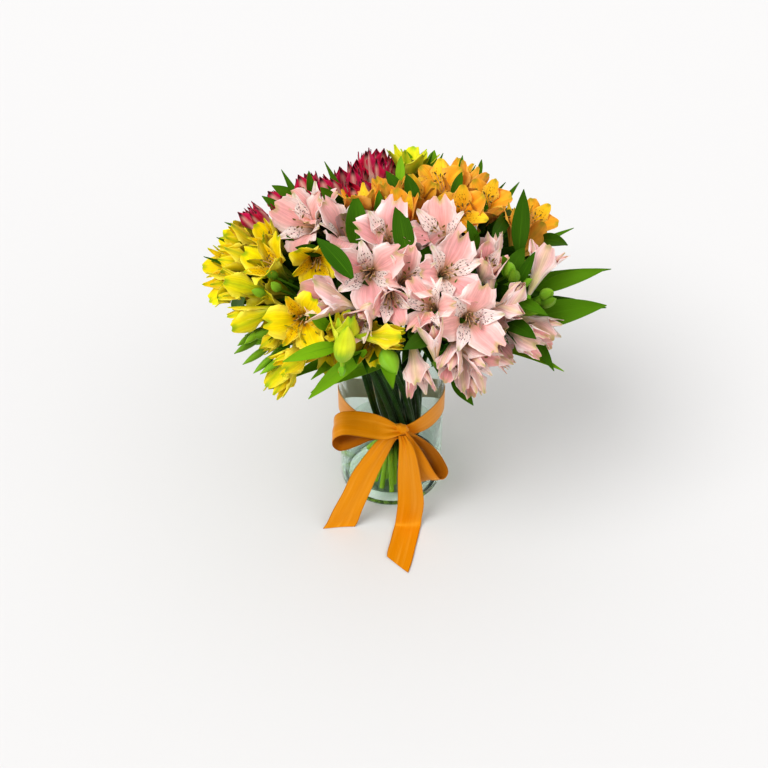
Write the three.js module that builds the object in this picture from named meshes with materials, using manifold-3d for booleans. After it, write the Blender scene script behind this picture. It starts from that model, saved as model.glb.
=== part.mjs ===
// A hand-tied bunch of alstroemeria in a glass cylinder vase, with a satin ribbon and bow.
// Millimetres, +Z up. The origin is the middle of the vase's underside; the bow faces -Y.

import * as THREE from 'three';
import { mergeVertices } from 'three/addons/utils/BufferGeometryUtils.js';
import Module from 'manifold-3d';

const wasm = await Module();
wasm.setup();

// ---------------------------------------------------------------- driving dimensions

const VASE = { radius: 50, height: 180, wall: 3, bottom: 12, foot: 46, bevel: 1.5, facets: 24 };
const WATER_LEVEL = 55;
const GAP = 0.3;                       // between pieces that touch
const HOLE = { clearance: 3 * GAP, beyond: 0.15 };   // the stems' holes in the water

const HEAD = new THREE.Vector3(0, 0, 250);       // middle of the flower dome
const DOME = new THREE.Vector3(160, 135, 78);    // its half sizes
const DOME_REACH = 0.95;                         // bloom mouths lie just inside the dome
const FOCUS = new THREE.Vector3(0, 0, 180);      // blooms turn away from here

const STEM = { radius: 2.5, sides: 5, foot: VASE.bottom + GAP, steps: 4 };
const TIE = new THREE.Vector3(12, -6, 64);       // the waist of the bunch, where its stems cross
const TIE_SHARE = 0.16;                // how far the hubs' spread shrinks at the waist
const TIE_TWIST = 65;                  // degrees the bunch turns between hubs and waist
const TIE_SPACING = 6.1;
const LEAD = { lowSpread: 2.1, lowHeight: 118, highSpread: 0.25, highHeight: 190 };
const FOOT_MIDDLE = new THREE.Vector3(-6, -6, STEM.foot);
const FOOT_SPREAD = 1.8;
const FOOT_TWIST = 55;

const HUB = { radius: 3.1, height: 6, sides: 6, depth: 30, heart: 0.6 };
const PEDICEL = { radius: 1.3, sides: 3 };
const MOUTH_HEIGHT = 36;               // from a bloom's base to its mouth
const THROAT = { waist: 2.7, waistHeight: 1, root: -7, pit: 0.55 };
const BLADE_THICKNESS = 1.2;           // at the rib; the edges are thin
const CUP = 0.22;                      // how far a blade's edges rise, as a share of its half width
const RIB = { steps: 8, curl: 0.9 };   // a tepal's rib turns outwards in small steps

// Each kind of bloom: its throat, its blades beyond the throat and the sections that shape them.
// A section is [share of the blade's length, share of its width].
const KINDS = {
  open: {
    tepals: 6, size: 30, throatRadius: 6.2, throatHeight: 17, throatTurn: 22, blade: 33, flare: 84,
    outerWidth: 24, innerWidth: 14, outer: [[0.42, 0.86], [0.8, 0.86]], inner: [[0.62, 1]],
  },
  trumpet: {
    tepals: 6, size: 19, throatRadius: 5.6, throatHeight: 18, throatTurn: 14, blade: 30, flare: 46,
    outerWidth: 15, innerWidth: 9, outer: [[0.62, 1]], inner: [],
  },
  slim: {
    tepals: 3, size: 9, throatRadius: 5.5, throatHeight: 26, throatTurn: 6, blade: 18, flare: 12,
    outerWidth: 10, innerWidth: 10, outer: [], inner: [],
  },
};
const INNER_FLARE = 0.82;
const BUD = {
  size: 5, radius: 4.4, length: 22, sides: 6, sunk: 5, low: 0.3, high: 0.72, narrowing: 0.72,
};

// The bunch, spray by spray: [kind, azimuth, elevation] of each bloom on the dome, in degrees.
// Azimuth 0 is the front (-Y) and grows towards +X.
const SPRAYS = [
  { name: 'yellow_1', blooms: [['trumpet', -94, 32], ['trumpet', -79, 29], ['trumpet', -89, 47]] },
  { name: 'yellow_2', blooms: [['trumpet', -66, 25], ['trumpet', -74, 9], ['trumpet', -56, 9]] },
  { name: 'yellow_3',
    blooms: [['open', -33, 22], ['slim', -21, 31], ['trumpet', -16, 17], ['trumpet', -2, 18]] },
  { name: 'yellow_4', blooms: [['open', -65, 43], ['open', -43, 50]] },
  { name: 'yellow_5',
    blooms: [['trumpet', -35, 1], ['trumpet', -38, -24], ['slim', -46, -9], ['bud', -52, 1],
             ['bud', -60, -7], ['bud', -56, -18], ['bud', -48, -23]] },
  { name: 'yellow_6', blooms: [['open', -108, 14], ['trumpet', -92, 6], ['trumpet', -112, -10]] },
  { name: 'pink_1', blooms: [['open', -63, 57], ['open', -45, 70], ['trumpet', -86, 65]] },
  { name: 'pink_2', blooms: [['open', -13, 52], ['open', -8, 68], ['trumpet', 6, 54]] },
  { name: 'pink_3', blooms: [['open', -28, 40], ['trumpet', -17, 36], ['trumpet', -6, 35]] },
  { name: 'pink_4', blooms: [['open', 34, 72], ['open', 27, 54], ['trumpet', 42, 50]] },
  { name: 'pink_5', blooms: [['open', 27, 28], ['trumpet', 9, 38], ['trumpet', 13, 20]] },
  { name: 'pink_6',
    blooms: [['trumpet', 18, 3], ['trumpet', 28, 1], ['trumpet', 27, -20], ['slim', 42, -20],
             ['trumpet', 8, -6]] },
  { name: 'pink_7',
    blooms: [['trumpet', 71, 31], ['slim', 70, 54], ['slim', 58, 45], ['slim', 48, 31],
             ['slim', 44, 21], ['bud', 60, 30]] },
  { name: 'pink_8', blooms: [['trumpet', 62, -12], ['trumpet', 49, -4], ['bud', 66, 10], ['bud', 56, 12]] },
  { name: 'orange_1', blooms: [['trumpet', -100, 82], ['trumpet', 175, 84], ['trumpet', 95, 86]] },
  { name: 'orange_2', blooms: [['open', 104, 74], ['open', 150, 60], ['trumpet', 140, 74]] },
  { name: 'orange_3', blooms: [['open', 101, 60], ['open', 121, 46], ['trumpet', 140, 45]] },
  { name: 'orange_4', blooms: [['open', 112, 23], ['trumpet', 104, 43], ['trumpet', 97, 4]] },
  { name: 'orange_5',
    blooms: [['trumpet', 153, 38], ['open', 134, 22], ['open', 125, -2], ['trumpet', 151, 8]] },
  { name: 'lime_1', blooms: [['trumpet', 169, 52], ['trumpet', 176, 37], ['trumpet', 162, 36]] },
  { name: 'lime_2', blooms: [['open', 173, 14], ['trumpet', -171, -4], ['trumpet', 158, -12]] },
  { name: 'crimson_1',
    blooms: [['slim', -100, 38], ['slim', -94, 51], ['slim', -108, 45], ['slim', -105, 31]] },
  { name: 'crimson_2',
    blooms: [['slim', -118, 54], ['slim', -121, 64], ['slim', -134, 60], ['slim', -128, 73]] },
  { name: 'crimson_3',
    blooms: [['slim', -157, 51], ['slim', -152, 63], ['slim', -143, 72], ['slim', -168, 61]] },
  { name: 'crimson_4',
    blooms: [['slim', -168, 41], ['slim', -178, 46], ['slim', -168, 56], ['slim', -155, 38]] },
  { name: 'crimson_5',
    blooms: [['slim', -122, 35], ['slim', -135, 43], ['slim', -130, 23], ['slim', -146, 30],
             ['slim', -116, 17]] },
  { name: 'crimson_6',
    blooms: [['slim', -155, 14], ['slim', -140, 7], ['slim', -168, 20], ['slim', -128, -5],
             ['slim', -150, -9]] },
];

const COLOURS = {
  yellow: 0xf2d21c, pink: 0xf0b4b0, orange: 0xf5a92c, lime: 0xd9dc2f, crimson: 0xb8123f,
  leaf: 0x2f6b1f, ribbon: 0xdd8500, glass: 0xdcebe4, water: 0xdfeee2,
};

// ---------------------------------------------------------------- small helpers

const radians = THREE.MathUtils.degToRad;
const degrees = THREE.MathUtils.radToDeg;
const vec = (x, y, z) => new THREE.Vector3(x, y, z);
const UP = vec(0, 0, 1);

/** The same draws on every run: a small seeded generator. */
function seeded(seed) {
  let state = seed;
  return () => {
    state = (state + 0x6d2b79f5) | 0;
    let t = Math.imul(state ^ (state >>> 15), 1 | state);
    t = (t + Math.imul(t ^ (t >>> 7), 61 | t)) ^ t;
    return ((t ^ (t >>> 14)) >>> 0) / 4294967296;
  };
}

/** A closed mesh under construction: points and triangles. */
class Shape {
  constructor() {
    this.points = [];
    this.triangles = [];
  }

  add(point) {
    return this.points.push(point) - 1;
  }

  face(a, b, c) {
    this.triangles.push(a, b, c);
  }

  moved(matrix) {
    this.points.forEach((point) => point.applyMatrix4(matrix));
    return this;
  }

  solid() {
    const vertProperties = new Float32Array(this.points.flatMap((p) => [p.x, p.y, p.z]));
    const mesh = new wasm.Mesh({ numProp: 3, vertProperties, triVerts: new Uint32Array(this.triangles) });
    return new wasm.Manifold(mesh);
  }
}

/** A three.js geometry as a manifold solid. */
function solidOf(geometry) {
  const bare = geometry.clone();
  bare.deleteAttribute('normal');
  bare.deleteAttribute('uv');
  const merged = mergeVertices(bare, 1e-4);
  const corners = merged.index.array;
  const triangles = [];
  for (let i = 0; i < corners.length; i += 3) {
    const [a, b, c] = corners.slice(i, i + 3);
    if (a !== b && b !== c && c !== a) {
      triangles.push(a, b, c);
    }
  }
  return new wasm.Manifold(new wasm.Mesh({
    numProp: 3,
    vertProperties: new Float32Array(merged.attributes.position.array),
    triVerts: new Uint32Array(triangles),
  }));
}

/** A manifold solid as a three.js geometry. */
function geometryOf(solid) {
  const { vertProperties, triVerts, numProp } = solid.getMesh();
  const positions = new Float32Array((vertProperties.length / numProp) * 3);
  for (let i = 0; i < positions.length / 3; i += 1) {
    positions.set(vertProperties.subarray(i * numProp, i * numProp + 3), i * 3);
  }
  const geometry = new THREE.BufferGeometry();
  geometry.setAttribute('position', new THREE.BufferAttribute(positions, 3));
  geometry.setIndex(new THREE.BufferAttribute(new Uint32Array(triVerts), 1));
  return geometry;
}

const fuse = (solids) => solids.reduce((whole, solid) => whole.add(solid));

/** One stretch of blade between two four-point sections, split alike on both faces. */
function bladeStretch(shape, from, to) {
  shape.face(from.right, from.top, to.top);
  shape.face(from.right, to.top, to.right);
  shape.face(from.top, from.left, to.top);
  shape.face(from.left, to.left, to.top);
  shape.face(from.left, from.bottom, to.bottom);
  shape.face(from.left, to.bottom, to.left);
  shape.face(from.bottom, from.right, to.bottom);
  shape.face(from.right, to.right, to.bottom);
}

/** The pointed end of a blade. */
function bladeTip(shape, from, tip) {
  shape.face(from.right, from.top, tip);
  shape.face(from.top, from.left, tip);
  shape.face(from.left, from.bottom, tip);
  shape.face(from.bottom, from.right, tip);
}

/** The four points of a blade's section, round its rib. */
function bladeSection(shape, middle, side, normal, halfWidth, halfThickness) {
  const edge = (sign) => middle.clone().addScaledVector(side, sign * halfWidth)
    .addScaledVector(normal, CUP * halfWidth);
  return {
    right: shape.add(edge(1)),
    left: shape.add(edge(-1)),
    top: shape.add(middle.clone().addScaledVector(normal, halfThickness)),
    bottom: shape.add(middle.clone().addScaledVector(normal, -halfThickness)),
  };
}

/** A round tube along a list of points, with flat ends; a standing one has a level foot. */
function tube(points, radius, sides, standing = false) {
  const shape = new Shape();
  const rings = points.map((point, i) => {
    const before = points[Math.max(i - 1, 0)];
    const after = points[Math.min(i + 1, points.length - 1)];
    const along = after.clone().sub(before).normalize();
    const turn = new THREE.Quaternion();
    if (i > 0 || !standing) {
      turn.setFromUnitVectors(UP, along);
    }
    return Array.from({ length: sides }, (_, k) => {
      const angle = (2 * Math.PI * k) / sides;
      const spoke = vec(radius * Math.cos(angle), radius * Math.sin(angle), 0).applyQuaternion(turn);
      return shape.add(point.clone().add(spoke));
    });
  });
  for (let i = 1; i < rings.length; i += 1) {
    for (let k = 0; k < sides; k += 1) {
      const next = (k + 1) % sides;
      shape.face(rings[i - 1][k], rings[i - 1][next], rings[i][next]);
      shape.face(rings[i - 1][k], rings[i][next], rings[i][k]);
    }
  }
  const first = rings[0];
  const last = rings[rings.length - 1];
  for (let k = 1; k < sides - 1; k += 1) {
    shape.face(first[0], first[k + 1], first[k]);
    shape.face(last[0], last[k], last[k + 1]);
  }
  return shape;
}

// ---------------------------------------------------------------- where the blooms stand

/** The point of the dome at an azimuth and elevation, in degrees. */
function domePoint(azimuth, elevation, reach = DOME_REACH) {
  const around = radians(azimuth);
  const rise = radians(elevation);
  return vec(Math.cos(rise) * Math.sin(around), -Math.cos(rise) * Math.cos(around), Math.sin(rise))
    .multiply(DOME).multiplyScalar(reach).add(HEAD);
}

/** A bloom's axis: between the line from the focus and the dome's own outward direction. */
function bloomAxis(mouth) {
  const fromFocus = mouth.clone().sub(FOCUS).normalize();
  const outward = mouth.clone().sub(HEAD).divide(DOME).divide(DOME).normalize();
  return fromFocus.add(outward).normalize();
}

const SEED = 7;
const ROLL = 120;                      // degrees: a bloom repeats after a third of a turn
const SETTLE = { rounds: 40, closeness: 0.74, share: 0.35, margin: 6 };

/** Moves blooms that stand too close apart along the dome, a little at a time. */
function settle(blooms) {
  for (let round = 0; round < SETTLE.rounds; round += 1) {
    const moves = blooms.map(() => vec(0, 0, 0));
    blooms.forEach((one, i) => {
      blooms.slice(i + 1).forEach((other, step) => {
        const apart = other.mouth.clone().sub(one.mouth);
        const wanted = SETTLE.closeness * (one.size + other.size);
        const lack = wanted - apart.length();
        if (lack > 0) {
          const whole = one.size + other.size;
          const push = apart.normalize().multiplyScalar(lack * SETTLE.share);
          moves[i].addScaledVector(push, -other.size / whole);
          moves[i + 1 + step].addScaledVector(push, one.size / whole);
        }
      });
    });
    blooms.forEach((bloom, i) => {
      const spot = bloom.mouth.clone().add(moves[i]).sub(HEAD).divide(DOME);
      bloom.mouth = spot.normalize().multiplyScalar(DOME_REACH).multiply(DOME).add(HEAD);
    });
  }
  blooms.forEach((bloom) => {
    bloom.axis = bloomAxis(bloom.mouth);
  });
}

/** Every bloom of the bunch with its size, roll and place. */
function placeBlooms() {
  const draw = seeded(SEED);
  const blooms = SPRAYS.flatMap((spray, index) => spray.blooms.map(([kind, azimuth, elevation]) => ({
    spray: index,
    kind,
    size: kind === 'bud' ? BUD.size : KINDS[kind].size,
    roll: draw() * ROLL,
    mouth: domePoint(azimuth, elevation),
  })));
  settle(blooms);
  return blooms;
}

/** The planes that part a bloom from its neighbours: it stays on the side where n.x < reach. */
function partingPlanes(bloom, blooms) {
  return blooms.filter((other) => other !== bloom
    && other.mouth.distanceTo(bloom.mouth) < bloom.size + other.size + SETTLE.margin).map((other) => {
    const apart = other.mouth.clone().sub(bloom.mouth);
    const mean = bloom.axis.clone().add(other.axis).normalize();
    const normal = apart.clone().addScaledVector(mean, -apart.dot(mean)).normalize();
    const share = bloom.size / (bloom.size + other.size);
    const middle = bloom.mouth.clone().addScaledVector(apart, share);
    return { normal, reach: middle.dot(normal) - GAP };
  });
}

// ---------------------------------------------------------------- a bloom

/** The rib of a tepal beyond the throat: distance from the axis, height and turn from the axis. */
function ribPoint(kind, fit, share) {
  let out = kind.throatRadius;
  let height = kind.throatHeight;
  const turnAt = (u) => radians(kind.throatTurn + (fit.flare - kind.throatTurn) * u ** RIB.curl);
  for (let k = 0; k < RIB.steps; k += 1) {
    const turn = turnAt((share * (k + 0.5)) / RIB.steps);
    out += (fit.blade * share * Math.sin(turn)) / RIB.steps;
    height += (fit.blade * share * Math.cos(turn)) / RIB.steps;
  }
  return { out, height, turn: turnAt(share) };
}

/** The frame of tepal k at a place on its rib: middle, side and the inner face's normal. */
function tepalFrame(kind, k, fit, share) {
  const around = (2 * Math.PI * k) / kind.tepals;
  const { out, height, turn } = ribPoint(kind, fit, share);
  const outward = vec(Math.cos(around), Math.sin(around), 0);
  return {
    middle: outward.clone().multiplyScalar(out).setZ(height),
    side: vec(-Math.sin(around), Math.cos(around), 0),
    normal: outward.clone().multiplyScalar(-Math.cos(turn)).setZ(Math.sin(turn)),
  };
}

const isInner = (kind, k) => kind.tepals === 6 && k % 2 === 1;

/** The corner points that tepal k reaches, for the parting planes. */
function tepalReach(kind, k, fit) {
  const inner = isInner(kind, k);
  const width = fit.width * (inner ? kind.innerWidth : kind.outerWidth);
  const points = (inner ? kind.inner : kind.outer).flatMap(([share, broad]) => {
    const { middle, side, normal } = tepalFrame(kind, k, fit, share);
    const half = (broad * width) / 2;
    return [1, -1].map((sign) => middle.clone().addScaledVector(side, sign * half)
      .addScaledVector(normal, CUP * half));
  });
  return [...points, tepalFrame(kind, k, fit, 1).middle];
}

const FIT = { flareStep: 8, leastFlare: 4, shrink: 0.88, shrinks: 4 };

/** Bends a tepal up, then shortens it, until it is on its own side of every parting plane. */
function fitTepal(kind, k, matrix, planes) {
  const flare = kind.flare * (isInner(kind, k) ? INNER_FLARE : 1);
  let fit = { flare, blade: kind.blade, width: 1 };
  for (let size = 0; size <= FIT.shrinks; size += 1) {
    const scale = FIT.shrink ** size;
    for (let bent = flare; bent >= FIT.leastFlare; bent -= FIT.flareStep) {
      fit = { flare: bent, blade: kind.blade * scale, width: scale };
      const points = tepalReach(kind, k, fit).map((point) => point.applyMatrix4(matrix));
      if (points.every((point) => planes.every((plane) => plane.normal.dot(point) < plane.reach))) {
        return fit;
      }
    }
  }
  return fit;
}

/** One bloom as a closed mesh: a funnel with its pit, and its tepals round the throat. */
function bloomShape(kind, fits) {
  const shape = new Shape();
  const count = kind.tepals;
  const corners = [];
  const tops = [];
  const bottoms = [];
  const waist = [];
  for (let k = 0; k < count; k += 1) {
    const around = (2 * Math.PI * k) / count;
    const between = around + Math.PI / count;
    const spot = (angle, radius, height) => vec(radius * Math.cos(angle), radius * Math.sin(angle), height);
    corners.push(shape.add(spot(between, kind.throatRadius, kind.throatHeight)));
    tops.push(shape.add(spot(around, kind.throatRadius - BLADE_THICKNESS / 2, kind.throatHeight)));
    bottoms.push(shape.add(spot(around, kind.throatRadius + BLADE_THICKNESS / 2, kind.throatHeight)));
    waist.push(shape.add(spot(around, THROAT.waist, THROAT.waistHeight)));
  }
  const pit = shape.add(vec(0, 0, kind.throatHeight * THROAT.pit));
  const root = shape.add(vec(0, 0, THROAT.root));
  for (let k = 0; k < count; k += 1) {
    const next = (k + 1) % count;
    shape.face(tops[k], corners[k], pit);
    shape.face(corners[k], tops[next], pit);
    shape.face(waist[k], waist[next], corners[k]);
    shape.face(waist[k], corners[k], bottoms[k]);
    shape.face(waist[next], bottoms[next], corners[k]);
    shape.face(waist[next], waist[k], root);
  }
  for (let k = 0; k < count; k += 1) {
    const inner = isInner(kind, k);
    const width = fits[k].width * (inner ? kind.innerWidth : kind.outerWidth);
    let from = {
      right: corners[k], left: corners[(k + count - 1) % count], top: tops[k], bottom: bottoms[k],
    };
    (inner ? kind.inner : kind.outer).forEach(([share, broad]) => {
      const { middle, side, normal } = tepalFrame(kind, k, fits[k], share);
      const to = bladeSection(shape, middle, side, normal, (broad * width) / 2, BLADE_THICKNESS / 2);
      bladeStretch(shape, from, to);
      from = to;
    });
    bladeTip(shape, from, shape.add(tepalFrame(kind, k, fits[k], 1).middle));
  }
  return shape;
}

/** A closed bud: a spindle with its widest ring nearer the root. */
function budShape() {
  const shape = new Shape();
  const root = shape.add(vec(0, 0, 0));
  const tip = shape.add(vec(0, 0, BUD.length));
  const ring = (radius, height) => Array.from({ length: BUD.sides }, (_, k) => {
    const angle = (2 * Math.PI * k) / BUD.sides;
    return shape.add(vec(radius * Math.cos(angle), radius * Math.sin(angle), height));
  });
  const low = ring(BUD.radius, BUD.length * BUD.low);
  const high = ring(BUD.radius * BUD.narrowing, BUD.length * BUD.high);
  for (let k = 0; k < BUD.sides; k += 1) {
    const next = (k + 1) % BUD.sides;
    shape.face(low[next], low[k], root);
    shape.face(low[k], low[next], high[next]);
    shape.face(low[k], high[next], high[k]);
    shape.face(high[k], high[next], tip);
  }
  return shape;
}

/** Where a bloom stands: its base is below its mouth, along its axis. */
function bloomMatrix(bloom) {
  const turn = new THREE.Quaternion().setFromUnitVectors(UP, bloom.axis);
  turn.multiply(new THREE.Quaternion().setFromAxisAngle(UP, radians(bloom.roll)));
  return new THREE.Matrix4().compose(bloomBase(bloom), turn, vec(1, 1, 1));
}

function bloomBase(bloom) {
  const depth = bloom.kind === 'bud' ? BUD.length : MOUTH_HEIGHT;
  return bloom.mouth.clone().addScaledVector(bloom.axis, -depth);
}

// ---------------------------------------------------------------- stems

/** Each spray's hub, behind the middle of its blooms, and its stem from the vase's bottom. */
function placeStems(blooms) {
  const stems = SPRAYS.map((spray, index) => {
    const own = blooms.filter((bloom) => bloom.spray === index);
    const hub = own.reduce((sum, bloom) => sum.add(bloomBase(bloom)), vec(0, 0, 0))
      .divideScalar(own.length);
    const axis = own.reduce((sum, bloom) => sum.add(bloom.axis), vec(0, 0, 0)).normalize();
    hub.addScaledVector(axis, -HUB.depth);
    const tie = vec(hub.x, hub.y, 0).applyAxisAngle(UP, radians(TIE_TWIST)).multiplyScalar(TIE_SHARE);
    return { hub, tie };
  });
  for (let round = 0; round < SETTLE.rounds; round += 1) {
    stems.forEach((one, i) => stems.slice(i + 1).forEach((other) => {
      const apart = other.tie.clone().sub(one.tie);
      const lack = TIE_SPACING - apart.length();
      if (lack > 0) {
        apart.normalize().multiplyScalar(lack / 2);
        one.tie.sub(apart);
        other.tie.add(apart);
      }
    }));
  }
  stems.forEach((stem) => {
    const foot = stem.tie.clone().applyAxisAngle(UP, radians(FOOT_TWIST)).multiplyScalar(FOOT_SPREAD);
    stem.foot = foot.add(FOOT_MIDDLE);
    const low = stem.tie.clone().multiplyScalar(LEAD.lowSpread).setZ(LEAD.lowHeight);
    const high = stem.hub.clone().multiplyScalar(LEAD.highSpread).setZ(LEAD.highHeight);
    stem.tie.add(TIE);
    const lead = new THREE.CubicBezierCurve3(stem.tie, low, high, stem.hub);
    stem.lead = lead;
    stem.path = [stem.foot, ...lead.getPoints(STEM.steps)];
    stem.heading = stem.hub.clone().sub(stem.path[STEM.steps]).normalize();
  });
  return stems;
}

// ---------------------------------------------------------------- leaves

const LEAF = {
  facing: vec(0, -0.55, 0.83).normalize(), petiole: 2.6, thickness: 1.2, arch: 0.16, bend: 0.45,
};
const LEAF_SECTIONS = [[0.3, 0.85], [0.66, 0.85]];      // [share of the length, share of the width]

// [spray, share of its stem's lead where the leaf grows, tip's azimuth, elevation, reach, width]
const LEAVES = [
  ['crimson_1', 0.8, -137, 34, 1.1, 13],
  ['crimson_1', 0.85, -118, 4, 1.08, 14],
  ['crimson_2', 0.75, -114, 60, 1.04, 11],
  ['crimson_3', 0.95, -120, 67, 1.02, 11],
  ['crimson_3', 0.8, -146, 52, 1.08, 11],
  ['crimson_4', 0.75, -168, 30, 1.08, 12],
  ['crimson_5', 0.6, -134, -22, 1.08, 15],
  ['crimson_6', 0.6, -152, -28, 1.05, 16],
  ['crimson_6', 0.8, -165, 2, 1.12, 14],
  ['yellow_1', 0.7, -97, 20, 1.02, 12],
  ['yellow_2', 0.7, -86, 18, 1.06, 11],
  ['yellow_4', 0.85, -54, 59, 0.92, 11],
  ['yellow_3', 0.75, -24, -8, 1.02, 14],
  ['yellow_3', 0.6, -30, -36, 1.06, 15],
  ['yellow_5', 0.65, -42, -38, 1.04, 12],
  ['yellow_6', 0.8, -100, -26, 1.06, 15],
  ['yellow_6', 0.75, -122, -16, 1.12, 14],
  ['pink_1', 0.8, -95, 77, 1.06, 14],
  ['pink_3', 0.8, -36, 60, 1.02, 16],
  ['pink_4', 0.8, 14, 80, 1.04, 15],
  ['pink_4', 0.85, 60, 60, 1.03, 10],
  ['pink_5', 0.65, -7, 9, 0.98, 16],
  ['pink_6', 0.8, 30, -44, 1.08, 15],
  ['pink_6', 0.75, 24, -31, 0.9, 14],
  ['pink_7', 0.7, 127, 34, 1.07, 16],
  ['pink_7', 0.75, 87, 7, 1.19, 17],
  ['pink_8', 0.8, 75, -3, 1.18, 22],
  ['pink_8', 0.7, 54, -22, 1.2, 14],
  ['pink_8', 0.75, 72, -34, 1.1, 15],
  ['orange_4', 0.65, 100, 22, 1.08, 13],
  ['orange_4', 0.7, 104, -22, 1.1, 15],
  ['orange_3', 0.8, 130, 36, 1.02, 10],
  ['orange_5', 0.65, 150, 27, 1.08, 11],
  ['orange_5', 0.6, 132, -26, 1.1, 15],
  ['lime_1', 0.75, 158, 46, 1.1, 12],
  ['lime_1', 0.65, 162, 48, 1.1, 11],
  ['lime_2', 0.6, 168, -30, 1.08, 15],
  ['lime_2', 0.65, -174, -18, 1.12, 14],
];

/** A lanceolate leaf from its stem to its tip, folded a little along its rib. */
function leafShape(root, tip, width) {
  const length = root.distanceTo(tip);
  const bend = root.clone().lerp(tip, LEAF.bend).add(vec(0, 0, LEAF.arch * length));
  const rib = new THREE.QuadraticBezierCurve3(root, bend, tip);
  const shape = new Shape();
  const section = (share, broad) => {
    const along = rib.getTangent(share);
    const side = LEAF.facing.clone().cross(along).normalize();
    return bladeSection(shape, rib.getPoint(share), side, along.clone().cross(side), broad / 2,
      LEAF.thickness / 2);
  };
  let from = section(0, LEAF.petiole);
  shape.face(from.right, from.bottom, from.left);
  shape.face(from.right, from.left, from.top);
  LEAF_SECTIONS.forEach(([share, broad]) => {
    const to = section(share, broad * width);
    bladeStretch(shape, from, to);
    from = to;
  });
  bladeTip(shape, from, shape.add(tip.clone()));
  return shape;
}

// ---------------------------------------------------------------- the nodes

/** A named mesh in its own material. */
function node(name, geometry, colour, roughness, metalness = 0) {
  const material = new THREE.MeshStandardMaterial({ color: colour, roughness, metalness });
  const mesh = new THREE.Mesh(geometry, material);
  mesh.name = name;
  return mesh;
}

/** A profile of [radius, height] points, turned about the vertical axis. */
function turned(profile) {
  const points = profile.map(([radius, height]) => new THREE.Vector2(radius, height));
  return new THREE.LatheGeometry(points, VASE.facets).rotateX(Math.PI / 2);
}

function vase() {
  const inner = VASE.radius - VASE.wall;
  const half = VASE.wall / 2;
  return turned([
    [0, 0], [VASE.foot, 0], [VASE.radius, VASE.bevel * 2], [VASE.radius, VASE.height - VASE.bevel],
    [VASE.radius - half, VASE.height], [inner, VASE.height - VASE.bevel],
    [inner, VASE.bottom + VASE.bevel], [inner - VASE.bevel, VASE.bottom], [0, VASE.bottom],
  ]);
}

/** The water, with a plain hole for every stem. */
function water(stems) {
  const radius = VASE.radius - VASE.wall - GAP;
  const low = VASE.bottom + GAP;
  const body = solidOf(turned([
    [0, low], [radius - VASE.bevel, low], [radius, low + VASE.bevel], [radius, WATER_LEVEL],
    [0, WATER_LEVEL],
  ]));
  const holes = stems.map(({ path }) => {
    const [foot, tie] = path;
    const along = tie.clone().sub(foot);
    const ends = [foot.clone().addScaledVector(along, -HOLE.beyond), tie];
    return tube(ends, STEM.radius + HOLE.clearance, STEM.sides).solid();
  });
  return geometryOf(body.subtract(fuse(holes)));
}

/** A green stem with its leaves. */
function leafyStem(stem, name) {
  const solids = [tube(stem.path, STEM.radius, STEM.sides, true).solid()];
  LEAVES.filter(([spray]) => spray === name).forEach(([, at, azimuth, elevation, reach, width]) => {
    const tip = domePoint(azimuth, elevation, reach);
    solids.push(leafShape(stem.lead.getPoint(at), tip, width).solid());
  });
  return geometryOf(fuse(solids));
}

/** A hub with its pedicels, blooms and buds. */
function flowerHead(stem, own, blooms) {
  const base = stem.hub.clone().addScaledVector(stem.heading, GAP);
  const top = base.clone().addScaledVector(stem.heading, HUB.height);
  const solids = [tube([base, top], HUB.radius, HUB.sides).solid()];
  const heart = base.clone().lerp(top, HUB.heart);
  own.forEach((bloom) => {
    const matrix = bloomMatrix(bloom);
    const end = bloomBase(bloom).addScaledVector(bloom.axis, bloom.kind === 'bud' ? BUD.sunk : 0);
    solids.push(tube([heart, end], PEDICEL.radius, PEDICEL.sides).solid());
    if (bloom.kind === 'bud') {
      solids.push(budShape().moved(matrix).solid());
      return;
    }
    const kind = KINDS[bloom.kind];
    const planes = partingPlanes(bloom, blooms);
    const fits = Array.from({ length: kind.tepals }, (_, k) => fitTepal(kind, k, matrix, planes));
    solids.push(bloomShape(kind, fits).moved(matrix).solid());
  });
  return geometryOf(fuse(solids));
}

// ---------------------------------------------------------------- the ribbon

const RIBBON = { width: 25, thickness: 0.8, middle: 94, lean: 20, saddle: -9.5, pinch: 12,
  pinchSpread: 24, pinchMiddle: 10 };
const KNOT = { middle: vec(8.7, -54.8, 112.5), size: vec(7.5, 4.5, 6), facets: [10, 7] };
const BAND_RADIUS = VASE.radius + GAP + RIBBON.thickness / 2;

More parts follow.
